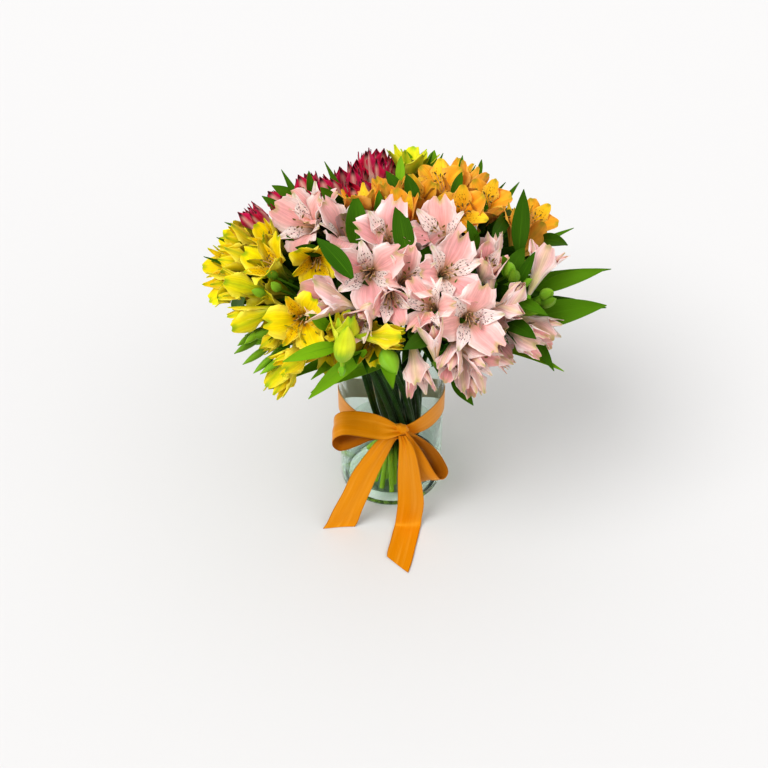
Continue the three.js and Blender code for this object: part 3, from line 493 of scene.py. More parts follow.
def is_inner(form: BloomForm, k: int) -> bool:
    """Whether tepal k is one of the inner ones."""
    return form.tepals == 6 and k % 2 == 1


class Bunch:
    """The whole layout: every bloom on the dome, every stem, and the room each tepal has."""

    def __init__(self) -> None:
        """Lays out the bunch."""
        draw = seeded(7)
        self.blooms = [
            Bloom(index, BloomKind(kind), BUD_SIZE if kind == "bud" else FORMS[BloomKind(kind)].size,
                  draw() * ROLL, dome_point(azimuth, elevation))
            for index, (_, blooms) in enumerate(SPRAYS) for kind, azimuth, elevation in blooms
        ]
        self.settle()
        self.stems = self.place_stems()
        self.lower = self.fill()

    def own(self, spray: int) -> list[Bloom]:
        """The blooms of one spray."""
        return [bloom for bloom in self.blooms if bloom.spray == spray]

    def settle(self) -> None:
        """Moves blooms that stand too close apart along the dome, a little at a time."""
        for _ in range(SETTLE_ROUNDS):
            moves = [Vector() for _ in self.blooms]
            for i, one in enumerate(self.blooms):
                for j in range(i + 1, len(self.blooms)):
                    other = self.blooms[j]
                    apart = other.mouth - one.mouth
                    whole = one.size + other.size
                    lack = SETTLE_CLOSENESS * whole - apart.length
                    if lack > 0:
                        push = apart.normalized() * (lack * SETTLE_SHARE)
                        moves[i] -= push * (other.size / whole)
                        moves[j] += push * (one.size / whole)
            for bloom, move in zip(self.blooms, moves):
                spot = over(bloom.mouth + move - HEAD, DOME).normalized()
                bloom.mouth = times(spot * DOME_REACH, DOME) + HEAD
        for bloom in self.blooms:
            bloom.axis = bloom_axis(bloom.mouth)

    def fill(self) -> list[Bloom]:
        """Further blooms, deeper in the bunch, midway between neighbours of one colour."""
        draw = seeded(41)
        found: list[Bloom] = []
        for i, one in enumerate(self.blooms):
            for other in self.blooms[i + 1:]:
                colours = {SPRAYS[bloom.spray][0].split("_")[0] for bloom in (one, other)}
                apart = (other.mouth - one.mouth).length
                if len(colours) > 1 or "crimson" in colours or not FILL_NEAREST < apart < FILL_FURTHEST:
                    continue
                spot = over((one.mouth + other.mouth) / 2 - HEAD, DOME).normalized()
                mouth = times(spot * FILL_REACH, DOME) + HEAD
                near = min((bloom.mouth - mouth).length for bloom in self.blooms + found)
                if near > FILL_ROOM:
                    found.append(Bloom(one.spray, BloomKind.TRUMPET, FORMS[BloomKind.TRUMPET].size,
                                       draw() * ROLL, mouth, bloom_axis(mouth)))
        return found

    def planes(self, bloom: Bloom) -> list[tuple[Vector, float]]:
        """The planes that part a bloom from its neighbours: it stays where normal . point < reach."""
        found = []
        for other in self.blooms:
            near = bloom.size + other.size + SETTLE_MARGIN
            apart = other.mouth - bloom.mouth
            if other is bloom or apart.length >= near:
                continue
            mean = (bloom.axis + other.axis).normalized()
            normal = (apart - mean * apart.dot(mean)).normalized()
            middle = bloom.mouth + apart * (bloom.size / (bloom.size + other.size))
            found.append((normal, middle.dot(normal) - GAP))
        return found

    def fit(self, form: BloomForm, k: int, matrix: Matrix, planes: list[tuple[Vector, float]]) -> Fit:
        """Bends a tepal up, then shortens it, until it is on its own side of every parting plane.

        Args:
            form: the bloom's sizes.
            k: which tepal.
            matrix: the bloom's own frame.
            planes: the planes between the bloom and its neighbours.

        Returns:
            The tepal's opening and size.
        """
        inner = is_inner(form, k)
        flare = form.flare * (INNER_FLARE if inner else 1)
        sections = form.inner if inner else form.outer
        broadest = form.inner_width if inner else form.outer_width
        fit = Fit(flare, form.blade, 1)
        for size in range(SHRINKS + 1):
            scale = SHRINK ** size
            bent = flare
            while bent >= LEAST_FLARE:
                fit = Fit(bent, form.blade * scale, scale)
                points = [self.tepal_point(form, k, fit, 1, 0)]
                for share, broad in sections:
                    half = broad * broadest * scale / 2
                    points += [self.tepal_point(form, k, fit, share, side * half) for side in (-1, 1)]
                placed = [matrix @ point for point in points]
                if all(normal.dot(point) < reach for point in placed for normal, reach in planes):
                    return fit
                bent -= FLARE_STEP
        return fit

    @staticmethod
    def tepal_point(form: BloomForm, k: int, fit: Fit, share: float, beside: float) -> Vector:
        """A point of tepal k, beside its rib, with the blade's edge cupped."""
        around = 2 * pi * k / form.tepals
        out, height, turn = rib_point(form, fit, share)
        outward = Vector((cos(around), sin(around), 0))
        side = Vector((-sin(around), cos(around), 0))
        normal = outward * -cos(turn) + UP * sin(turn)
        return outward * out + UP * height + side * beside + normal * (CUP * abs(beside))

    def place_stems(self) -> list[Stem]:
        """Each spray's hub, behind the middle of its blooms, and its stem from the vase's bottom."""
        stems = []
        for index in range(len(SPRAYS)):
            own = self.own(index)
            hub = sum((bloom.base() for bloom in own), Vector()) / len(own)
            axis = sum((bloom.axis for bloom in own), Vector()).normalized()
            hub -= axis * STEM.hub_depth
            waist = about_up(Vector((hub.x, hub.y, 0)), STEM.twist) * STEM.share
            stems.append(Stem(hub, waist))
        for _ in range(SETTLE_ROUNDS):
            for i, one in enumerate(stems):
                for other in stems[i + 1:]:
                    apart = other.waist - one.waist
                    lack = STEM.spacing - apart.length
                    if lack > 0:
                        push = apart.normalized() * (lack / 2)
                        one.waist -= push
                        other.waist += push
        for stem in stems:
            stem.foot = about_up(stem.waist, STEM.foot_twist) * STEM.foot_spread + STEM.foot_middle
            stem.low = (stem.waist * STEM.low_spread).xy.to_3d() + UP * STEM.low_height
            stem.high = (stem.hub * STEM.high_spread).xy.to_3d() + UP * STEM.high_height
            stem.waist = stem.waist + STEM.waist
        return stems


# ---------------------------------------------------------------- pieces under construction

class Piece:
    """One piece under construction, in millimetres, with a UV map and a mark for its finish."""

    def __init__(self) -> None:
        """Starts an empty piece."""
        self.bm = bmesh.new()
        self.uv = self.bm.loops.layers.uv.new("along")
        self.mark = self.bm.verts.layers.float_vector.new("mark")

    def patch(self, cells: tuple[int, int], place: Place, mark: Vector, material: int = 0,
              thickness: float = 0, inside: int = 0) -> list[BMVert]:
        """Adds a grid whose points go where a function says, with a thickness if it has one.

        Args:
            cells: how many cells across and along.
            place: gives a point from its shares across and along, each from 0 to 1.
            mark: three numbers that the finish reads.
            material: the finish of the side that faces out.
            thickness: how far the other side lies behind.
            inside: the finish of the other side.

        Returns:
            The grid's own points.
        """
        grid = bmesh.ops.create_grid(self.bm, x_segments=cells[0], y_segments=cells[1], size=0.5)
        verts = grid["verts"]
        faces = list({face for vert in verts for face in vert.link_faces})
        for face in faces:
            face.material_index = material
            for loop in face.loops:
                loop[self.uv].uv = (loop.vert.co.x + 0.5, loop.vert.co.y + 0.5)
        for vert in verts:
            vert[self.mark] = mark
            vert.co = place(vert.co.x + 0.5, vert.co.y + 0.5)
        if thickness:
            self.thicken(faces, thickness, inside)
        return verts

    def thicken(self, faces: list[BMFace], thickness: float, inside: int) -> None:
        """Gives an open sheet of faces a thickness on the side behind them.

        Args:
            faces: the sheet.
            thickness: how far the other side lies behind.
            inside: the finish of the other side.
        """
        for face in faces:
            face.normal_update()
        for vert in {vert for face in faces for vert in face.verts}:
            vert.normal_update()
        edges = {edge for face in faces for edge in face.edges}
        made = bmesh.ops.extrude_face_region(self.bm, geom=faces + list(edges), use_keep_orig=True)["geom"]
        for item in made:
            if isinstance(item, BMVert):
                item.co -= item.normal * thickness
            elif isinstance(item, BMFace):
                item.material_index = inside
        sides = {face for item in made if isinstance(item, BMFace)
                 for edge in item.edges for face in edge.link_faces}
        bmesh.ops.recalc_face_normals(self.bm, faces=list(sides | set(faces)))

    def tube(self, cells: tuple[int, int], path: Callable[[float], Vector],
             radius: Callable[[float, float], float], mark: Vector, material: int = 0) -> None:
        """Adds a closed round tube along a path.

        Args:
            cells: how many cells around and along.
            path: gives a point of the middle line from its share.
            radius: gives the radius from the shares around and along.
            mark: three numbers that the finish reads.
            material: the tube's finish.
        """
        step = 0.5 / cells[1]
        rings: dict[float, Vectors] = {}

        def ring(along: float) -> Vectors:
            """The middle of a ring and its two spokes, worked out once."""
            key = round(along, 5)
            if key not in rings:
                heading = (path(min(along + step, 1)) - path(max(along - step, 0))).normalized()
                turn = UP.rotation_difference(heading)
                rings[key] = (path(along), turn @ Vector((1, 0, 0)), turn @ Vector((0, 1, 0)))
            return rings[key]

        def place(around: float, along: float) -> Vector:
            """A point of the tube's skin."""
            middle, right, ahead = ring(along)
            angle = 2 * pi * around
            spoke = right * cos(angle) + ahead * sin(angle)
            return middle + spoke * radius(around % 1, along)

        verts = self.patch(cells, place, mark, material)
        bmesh.ops.remove_doubles(self.bm, verts=verts, dist=WELD)
        rim = {edge for vert in verts if vert.is_valid for edge in vert.link_edges if edge.is_boundary}
        filled = bmesh.ops.holes_fill(self.bm, edges=list(rim), sides=0)
        for face in filled["faces"]:
            face.material_index = material

    def take(self, other: "Piece | Mesh", matrix: Matrix | None = None) -> None:
        """Adds another piece's mesh, moved by a matrix if one is given."""
        mesh = other if isinstance(other, Mesh) else other.mesh("part")
        first = len(self.bm.verts)
        self.bm.from_mesh(mesh)
        if matrix is not None:
            self.bm.verts.ensure_lookup_table()
            bmesh.ops.transform(self.bm, matrix=matrix, verts=self.bm.verts[first:])
        if not isinstance(other, Mesh):
            bpy.data.meshes.remove(mesh)

    def mesh(self, name: str) -> Mesh:
        """The piece as a mesh of its own, still in millimetres."""
        mesh = bpy.data.meshes.new(name)
        self.bm.to_mesh(mesh)
        self.bm.free()
        return mesh

    def finish(self, name: str, materials: Sequence[Material], slot: str,
               crease: float = 50) -> Object:
        """Makes the piece an object in metres that rides on the part.

        Args:
            name: the object's name.
            materials: its finishes, by material index.
            slot: the record's material slot; not used.
            crease: edges sharper than this many degrees stay sharp.

        Returns:
            The object.
        """
        bmesh.ops.scale(self.bm, vec=(MM, MM, MM), verts=self.bm.verts)
        mesh = self.mesh(name)
        for material in materials:
            mesh.materials.append(material)
        mesh.shade_smooth()
        mesh.set_sharp_from_angle(angle=radians(crease))
        piece = bpy.data.objects.new(name, mesh)
        bpy.context.scene.collection.objects.link(piece)
        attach(piece, "root")
        log.info("%s: %d faces", name, len(mesh.polygons))
        return piece


# ---------------------------------------------------------------- shader graphs

Socket = NodeSocket
Value = Socket | float
Colour = tuple[float, float, float, float]
Finishes = dict[str, list[Material]]

WHITE = (1.0, 1.0, 1.0, 1.0)


class Graph:
    """Adds nodes to one node tree."""

    def __init__(self, tree: NodeTree) -> None:
        """Works on a tree."""
        self.tree = tree

    def node(self, kind: str, **settings: object) -> Node:
        """A new node with its settings."""
        made = self.tree.nodes.new(f"ShaderNode{kind}")
        for key, value in settings.items():
            setattr(made, key, value)
        return made

    def put(self, value: Value | Sequence[float], socket: Socket) -> None:
        """Links a socket, or sets a plain value."""
        if isinstance(value, NodeSocket):
            self.tree.links.new(value, socket)
        else:
            socket.default_value = value

    def math(self, operation: str, one: Value, other: Value = 0.0,
             clamp: bool = False) -> Socket:
        """A math node's result."""
        made = self.node("Math", operation=operation, use_clamp=clamp)
        self.put(one, made.inputs[0])
        self.put(other, made.inputs[1])
        return made.outputs[0]

    def product(self, first: Value, *others: Value) -> Socket:
        """The product of two or more values."""
        for other in others:
            first = self.math("MULTIPLY", first, other)
        return first

    def scaled(self, value: Socket, factor: float, more: Value) -> Socket:
        """A value times a factor, plus something more."""
        made = self.node("Math", operation="MULTIPLY_ADD")
        for given, socket in zip((value, factor, more), made.inputs):
            self.put(given, socket)
        return made.outputs[0]

    def step(self, value: Socket, low: float, high: float) -> Socket:
        """A soft step of a value, from 0 at low to 1 at high; low may be the larger."""
        made = self.node("MapRange", interpolation_type="SMOOTHSTEP")
        self.put(value, made.inputs["Value"])
        ends = (high, low, 1, 0) if low > high else (low, high, 0, 1)
        for end, label in zip(ends, ("From Min", "From Max", "To Min", "To Max")):
            made.inputs[label].default_value = end
        return made.outputs["Result"]

    def mix(self, share: Value, one: Socket | Sequence[float],
            other: Socket | Sequence[float], mode: str = "MIX") -> Socket:
        """A mix of two colours."""
        made = self.node("Mix", data_type="RGBA", blend_type=mode, clamp_factor=True)
        self.put(share, made.inputs[0])
        self.put(one, made.inputs[6])
        self.put(other, made.inputs[7])
        return made.outputs[2]

    def noise(self, vector: Socket, scale: float = 1.0, detail: float = 2.0) -> Socket:
        """A noise's value."""
        made = self.node("TexNoise")
        self.put(vector, made.inputs["Vector"])
        made.inputs["Scale"].default_value = scale
        made.inputs["Detail"].default_value = detail
        return made.outputs["Fac"]

    def vector(self, x: Value, y: Value, z: Value = 0.0) -> Socket:
        """Three numbers as a vector."""
        made = self.node("CombineXYZ")
        for value, socket in zip((x, y, z), made.inputs):
            self.put(value, socket)
        return made.outputs[0]

    def split(self, vector: Socket) -> tuple[Socket, Socket, Socket]:
        """A vector's three numbers."""
        made = self.node("SeparateXYZ")
        self.put(vector, made.inputs[0])
        return made.outputs[0], made.outputs[1], made.outputs[2]


class Painter(Graph):
    """A node group under construction, which turns a piece's UV map and mark into a colour and a height."""

    def __init__(self, name: str, inputs: dict[str, object]) -> None:
        """Starts the group.

        Args:
            name: the group's name.
            inputs: each input's default, a number or a colour.
        """
        super().__init__(bpy.data.node_groups.new(name, "ShaderNodeTree"))
        for label, value in inputs.items():
            kind = "NodeSocketFloat" if isinstance(value, (int, float)) else "NodeSocketColor"
            socket = self.tree.interface.new_socket(label, in_out="INPUT", socket_type=kind)
            socket.default_value = value
        for label, kind in (("Color", "NodeSocketColor"), ("Height", "NodeSocketFloat")):
            self.tree.interface.new_socket(label, in_out="OUTPUT", socket_type=kind)
        self.given = self.tree.nodes.new("NodeGroupInput").outputs
        self.across, self.along, _ = self.split(self.node("UVMap", uv_map="along").outputs[0])

    def marks(self) -> tuple[Socket, Socket, Socket]:
        """The three numbers of a piece's mark."""
        return self.split(self.node("Attribute", attribute_name="mark").outputs["Vector"])

    def cells(self, across: Socket, size: Pair, offset: Value = 0.0) -> Socket:
        """The UV map stretched so that a noise's cells come out the right size."""
        return self.vector(self.product(across, size[0]), self.product(self.along, size[1]), offset)

    def toned(self, colour: Socket, value: Socket, hue: Value = 0.5) -> Socket:
        """A colour with another lightness and hue."""
        tone = self.node("HueSaturation")
        for given, label in ((colour, "Color"), (value, "Value"), (hue, "Hue")):
            self.put(given, tone.inputs[label])
        return tone.outputs[0]

    def close(self, colour: Socket, height: Socket) -> NodeTree:
        """Ends the group with its colour and its height."""
        out = self.tree.nodes.new("NodeGroupOutput").inputs
        self.put(colour, out["Color"])
        self.put(height, out["Height"])
        return self.tree


def dressed(name: str, group: NodeTree | None, values: dict[str, object],
            sockets: dict[str, object], bump: float = 0.0, depth: float = 0.0002) -> Material:
    """A material whose Principled shader takes its colour and bump from a group.

    Args:
        name: the material's name.
        group: the node group that paints it, if it has one.
        values: the group's own values.
        sockets: the shader's own constants.
        bump: how strongly the group's height shows.
        depth: the height's real depth, in metres.

    Returns:
        The material.
    """
    material = bpy.data.materials.new(name)
    material.use_nodes = True
    graph = Graph(material.node_tree)
    shader = material.node_tree.nodes["Principled BSDF"]
    for label, value in sockets.items():
        shader.inputs[label].default_value = value
    if group:
        painter = graph.node("Group")
        painter.node_tree = group
        for label, value in values.items():
            painter.inputs[label].default_value = value
        graph.put(painter.outputs["Color"], shader.inputs["Base Color"])
        relief = graph.node("Bump")
        relief.inputs["Strength"].default_value = bump
        relief.inputs["Distance"].default_value = depth
        graph.put(painter.outputs["Height"], relief.inputs["Height"])
        graph.put(relief.outputs[0], shader.inputs["Normal"])
    return material


# ---------------------------------------------------------------- patterns

# In a pattern, a pair says where a fade starts and where it is whole, or how large cells are across and
# along, or a factor and what is added to it.

@dataclass(frozen=True)
class PetalPattern:
    """The markings of a tepal: heart, blade, edge, keel, tip, dashes, fine veins and painted shade towards
    its base.

    The UV map runs across from edge to edge and along from base to tip. The mark holds 1 for an inner
    tepal, a draw for the tepal and a draw for the bloom, lowered as painted shade for the blooms deep in the
    bunch.
    """

    heart: Pair = (0.22, 0.6)
    inner: Pair = (0.3, 0.5)
    rim: Pair = (0.35, 1.0)
    tip_along: Pair = (0.86, 0.99)
    tip_beside: Pair = (0.5, 0.12)
    shuffle: float = 31.0
    streak_cells: Pair = (9.0, 1.6)
    streak_detail: float = 3.0
    wander: Pair = (0.35, -0.17)
    dash_cells: Pair = (5.0, 13.0)
    dash_scatter: float = 0.85
    dash_outline: Pair = (0.29, 0.2)
    dash_chance: Pair = (0.4, 0.45)
    dash_start: Pair = (0.38, 0.46)
    dash_end: Pair = (0.88, 0.76)
    dash_inner: Pair = (0.2, 0.9)
    vein: Pair = (0.62, 0.4)
    vein_shade: Colour = (0.62, 0.55, 0.5, 1.0)
    # How a bloom's draw becomes its lightness; the blooms deep in the bunch come out darker as painted shade.
    bloom_tone_and_shade: Pair = (0.16, 0.93)
    patch_cells: Pair = (1.0, 3.0)
    patch_scale: float = 1.3
    patch_tone: Pair = (0.5, -0.25)
    # Where, along the tepal, the painted shade towards its base starts and where it is whole.
    throat: Pair = (0.5, 0.15)
    hue: Pair = (0.016, 0.492)

    def group(self) -> NodeTree:
        """The pattern as a node group."""
        graph = Painter("petal paint", {
            "Heart": WHITE, "Blade": WHITE, "Edge": WHITE, "Keel": WHITE, "Tip": WHITE, "Inner": WHITE,
            "Dash": WHITE, "Edge Share": 0.4, "Keel Width": 0.2, "Keel Share": 0.3, "Tip Share": 0.8,
            # Depth: how much painted shade darkens a tepal towards its base.
            "Dash Share": 0.9, "Vein Share": 0.15, "Heart Reach": 0.0, "Tip Reach": 0.0, "Depth": 0.4,
        })
        inner, tepal_draw, bloom_draw_and_shade = graph.marks()
        signed = graph.scaled(graph.across, 2.0, -1.0)
        offset = graph.product(tepal_draw, self.shuffle)
        streaks = graph.noise(graph.cells(signed, self.streak_cells, offset), detail=self.streak_detail)
        colour = self.ground(graph, signed, streaks, inner)
        colour = graph.mix(self.dashes(graph, signed, offset, inner), colour, graph.given["Dash"])
        shade = graph.product(graph.step(streaks, *self.vein), graph.given["Vein Share"])
        darker = graph.mix(1.0, colour, self.vein_shade, "MULTIPLY")
        colour = graph.mix(shade, colour, darker)
        patches = graph.noise(graph.cells(signed, self.patch_cells, offset), self.patch_scale)
        value = graph.math("ADD", graph.scaled(bloom_draw_and_shade, *self.bloom_tone_and_shade),
                           graph.scaled(patches, *self.patch_tone))
        # Painted shade: each tepal is drawn darker towards its base, where the throat and the gaps between
        # blooms lie in shade.
        painted_shade = graph.product(graph.step(graph.along, *self.throat), graph.given["Depth"])
        value = graph.product(value, graph.math("SUBTRACT", 1.0, painted_shade))
        return graph.close(graph.toned(colour, value, graph.scaled(tepal_draw, *self.hue)), streaks)

    def ground(self, graph: Painter, signed: Socket, streaks: Socket, inner: Socket) -> Socket:
        """The heart, the blade, the inner tepal's tint, the edge, the keel and the tip.

        Args:
            graph: the group under construction.
            signed: the place across the tepal, from -1 to 1.
            streaks: the noise that its markings follow.
            inner: 1 for an inner tepal.

        Returns:
            The colour.
        """
        given = graph.given
        beside = graph.math("ABSOLUTE", signed)
        soft_along = graph.math("ADD", graph.along, graph.scaled(streaks, *self.wander))
        risen = graph.math("SUBTRACT", soft_along, given["Heart Reach"])
        colour = graph.mix(graph.step(risen, *self.heart), given["Heart"], given["Blade"])
        inside = graph.product(inner, graph.step(soft_along, *self.inner))
        colour = graph.mix(inside, colour, given["Inner"])
        rim = graph.product(graph.step(beside, *self.rim), given["Edge Share"])
        colour = graph.mix(rim, colour, given["Edge"])
        keel = graph.math("SUBTRACT", 1.0, graph.math("DIVIDE", beside, given["Keel Width"]), clamp=True)
        colour = graph.mix(graph.product(keel, given["Keel Share"]), colour, given["Keel"])
        late = graph.step(graph.math("ADD", graph.along, given["Tip Reach"]), *self.tip_along)
        close = graph.step(graph.math("SUBTRACT", beside, given["Tip Reach"]), *self.tip_beside)
        return graph.mix(graph.product(late, close, given["Tip Share"]), colour, given["Tip"])

    def dashes(self, graph: Painter, signed: Socket, offset: Socket, inner: Socket) -> Socket:
        """How strongly the dashes of an inner tepal show.

        Args:
            graph: the group under construction.
            signed: the place across the tepal, from -1 to 1.
            offset: what gives each tepal dashes of its own.
            inner: 1 for an inner tepal.

        Returns:
            Their share.
        """
        cells = graph.node("TexVoronoi", voronoi_dimensions="2D", feature="F1")
        cells.inputs["Scale"].default_value = 1.0
        cells.inputs["Randomness"].default_value = self.dash_scatter
        across, along = self.dash_cells
        graph.put(graph.vector(graph.scaled(signed, across, offset), graph.product(graph.along, along)),
                  cells.inputs["Vector"])
        kept = graph.step(graph.split(cells.outputs["Color"])[0], *self.dash_chance)
        dash = graph.product(graph.step(cells.outputs["Distance"], *self.dash_outline), kept)
        window = graph.product(graph.step(graph.along, *self.dash_start),
                               graph.step(graph.along, *self.dash_end))
        return graph.product(dash, window, graph.given["Dash Share"], graph.step(inner, *self.dash_inner))


@dataclass(frozen=True)
class LeafPattern:
    """A leaf's parallel veins, paler midrib and mottling; the mark holds its lime share and a draw."""

    veins: int = 11
    streak_cells: Pair = (14.0, 1.0)
    shuffle: float = 23.0
    rib_beside: Pair = (0.05, 0.0)
    rib_along: Pair = (0.95, 0.3)
    rib_share: float = 0.55
    tone: Pair = (0.5, 0.75)
    relief: float = 0.6

    def group(self) -> NodeTree:
        """The pattern as a node group."""
        graph = Painter("leaf paint", {"Blade": WHITE, "Vein": WHITE, "Lime": WHITE, "Vein Share": 0.35})
        given = graph.given
        lime, draw, _ = graph.marks()
        lines = graph.math("SINE", graph.product(graph.across, 2 * pi * self.veins))
        lines = graph.scaled(lines, 0.5, 0.5)
        offset = graph.product(draw, self.shuffle)
        streaks = graph.noise(graph.cells(graph.across, self.streak_cells, offset))
        colour = graph.mix(lime, given["Blade"], given["Lime"])
        colour = graph.mix(graph.product(lines, streaks, given["Vein Share"]), colour, given["Vein"])
        middle = graph.math("ABSOLUTE", graph.math("SUBTRACT", graph.across, 0.5))
        rib = graph.product(graph.step(middle, *self.rib_beside), graph.step(graph.along, *self.rib_along),
                            self.rib_share)
        colour = graph.mix(rib, colour, given["Vein"])
        height = graph.math("SUBTRACT", 1.0, graph.product(lines, self.relief))
        return graph.close(graph.toned(colour, graph.scaled(draw, *self.tone)), height)


@dataclass(frozen=True)
class SatinPattern:
    """Satin's fine ribs across the ribbon, a stitched edge and slow bands of painted sheen."""

    ribs: float = 400.0
    slub_cells: Pair = (60.0, 9.0)
    slub_detail: float = 3.0
    slub_shade: float = 0.35
    hem: Pair = (0.455, 0.485)
    hem_shade: float = 0.45
    # Slow lighter bands along the ribbon: painted sheen.
    painted_sheen_cells: Pair = (5.0, 1.4)
    painted_sheen: Pair = (0.42, 0.75)
    painted_sheen_share: float = 0.3
    rib_relief: float = 0.3
    slub_relief: float = 0.7

    def group(self) -> NodeTree:
        """The pattern as a node group."""
        graph = Painter("satin weave", {"Cloth": WHITE, "Shade": WHITE, "Painted Sheen": WHITE, "Ribs": self.ribs})
        given = graph.given
        ribs = graph.math("SINE", graph.product(graph.along, given["Ribs"]))
        ribs = graph.scaled(ribs, 0.5, 0.5)
        slub = graph.noise(graph.cells(graph.across, self.slub_cells), detail=self.slub_detail)
        middle = graph.math("ABSOLUTE", graph.math("SUBTRACT", graph.across, 0.5))
        edge = graph.step(middle, *self.hem)
        shade = graph.math("ADD", graph.product(slub, self.slub_shade), graph.product(edge, self.hem_shade))
        colour = graph.mix(shade, given["Cloth"], given["Shade"])
        # Painted sheen: slow bands mixed towards a lighter colour.
        slow = graph.noise(graph.cells(graph.across, self.painted_sheen_cells))
        painted_sheen = graph.product(graph.step(slow, *self.painted_sheen), self.painted_sheen_share)
        colour = graph.mix(painted_sheen, colour, given["Painted Sheen"])
        height = graph.math("ADD", graph.product(ribs, self.rib_relief),
                            graph.product(slub, self.slub_relief))
        return graph.close(colour, height)


# ---------------------------------------------------------------- finishes

@dataclass(frozen=True)
class PetalFinish:
    """One colour of alstroemeria, as hex codes, and how strong its markings and its painted shade are."""

    name: str
    heart: str
    blade: str
    edge: str
    keel: str
    tip: str
    inner: str
    dash: str
    back: str
    back_keel: str
    edge_share: float = 0.4
    keel_share: float = 0.2
    keel_width: float = 0.2
    tip_share: float = 0.8
    dash_share: float = 0.9
    vein_share: float = 0.2
    heart_reach: float = 0.0
    tip_reach: float = 0.0
    # How much painted shade darkens the face of a tepal towards its base.
    depth: float = 0.5
    back_keel_width: float = 0.45
    back_keel_share: float = 0.6
    # How much painted shade darkens the back of a tepal towards its base.
    back_painted_shade: float = 0.1

    def values(self, back: bool) -> dict[str, object]:
        """The petal group's values for the face or the back of a tepal."""
        colours = ("Heart", "Blade", "Edge", "Keel", "Tip", "Inner", "Dash")
        shares = ("Edge Share", "Keel Width", "Keel Share", "Tip Share", "Dash Share", "Depth", "Vein Share",
                  "Heart Reach", "Tip Reach")
        values = {label: paint(getattr(self, label.lower())) for label in colours}
        values.update({label: getattr(self, label.lower().replace(" ", "_")) for label in shares})
        if back:
            values.update({
                "Heart": paint(self.back_keel), "Blade": paint(self.back), "Keel": paint(self.back_keel),
                "Inner": paint(self.back), "Keel Width": self.back_keel_width,
                "Keel Share": self.back_keel_share, "Dash Share": 0.0, "Depth": self.back_painted_shade,
            })
        return values

    def materials(self, group: NodeTree) -> list[Material]:
        """The finish of the back of a tepal, then of its face."""
        soft = {
            "Roughness": 0.5, "Specular IOR Level": 0.35, "Subsurface Weight": 0.15,
            "Subsurface Radius": (1.0, 0.6, 0.4), "Subsurface Scale": 0.002,
            "Sheen Weight": 0.15, "Sheen Roughness": 0.4,
            "Specular Tint": paint(self.edge), "Sheen Tint": paint(self.edge),
        }
        return [dressed(f"{self.name} {side}", group, self.values(side == "back"), soft, 0.5, 0.0003)
                for side in ("back", "face")]


@dataclass(frozen=True)
class GreenFinish:
    """One green of the leaves, stems or buds, as hex codes."""

    name: str
    blade: str
    vein: str
    lime: str
    vein_share: float = 0.3
    roughness: float = 0.38
    relief: float = 0.3

    def material(self, group: NodeTree) -> Material:
        """The finish as a material."""
        values = {"Blade": paint(self.blade), "Vein": paint(self.vein), "Lime": paint(self.lime),
                  "Vein Share": self.vein_share}
        waxy = {
            "Roughness": self.roughness, "Specular IOR Level": 0.4, "Specular Tint": paint("a8d858"),
            "Subsurface Weight": 0.08, "Subsurface Radius": (0.4, 1.0, 0.2), "Subsurface Scale": 0.0015,
        }
        return dressed(self.name, group, values, waxy, self.relief)


@dataclass(frozen=True)
class StemFinish(GreenFinish):
    """A stem's green: darkened above the water line as painted shade, lighter and yellower in the water as
    painted light.
    """

    # Multiplied into the green above the water line: painted shade.
    dry_painted_shade: str = "6f8a4a"
    # Laid over the green in the water: painted light.
    wet: str = "9fc23a"
    dry_height: float = VASE.water + 6
    wet_height: float = VASE.water - 12

    def material(self, group: NodeTree) -> Material:
        """The finish as a material."""
        material = super().material(group)
        graph = Graph(material.node_tree)
        shader = material.node_tree.nodes["Principled BSDF"]
        height = graph.split(graph.node("TexCoord").outputs["Object"])[2]
        painted = shader.inputs["Base Color"].links[0].from_socket
        # Painted shade above the water line, painted light below it.
        painted_shade = graph.mix(1.0, painted, paint(self.dry_painted_shade), "MULTIPLY")
        share = graph.step(height, self.dry_height * MM, self.wet_height * MM)
        graph.put(graph.mix(share, painted_shade, paint(self.wet)), shader.inputs["Base Color"])
        return material


@dataclass(frozen=True)
class SatinFinish:
    """One side of the ribbon, as hex codes."""

    name: str
    cloth: str
    shade: str
    # The lighter colour of the painted sheen bands.
    painted_sheen: str
    roughness: float = 0.34

    def material(self, group: NodeTree) -> Material:
        """The finish as a material."""
        values = {"Cloth": paint(self.cloth), "Shade": paint(self.shade), "Painted Sheen": paint(self.painted_sheen)}
        satin = {
            "Roughness": self.roughness, "Specular IOR Level": 0.9, "Specular Tint": paint("ffbe5c"),
            "Anisotropic": 0.5, "Sheen Weight": 0.25, "Sheen Roughness": 0.3, "Sheen Tint": paint("ffc070"),
        }
        return dressed(self.name, group, values, satin, 0.25)


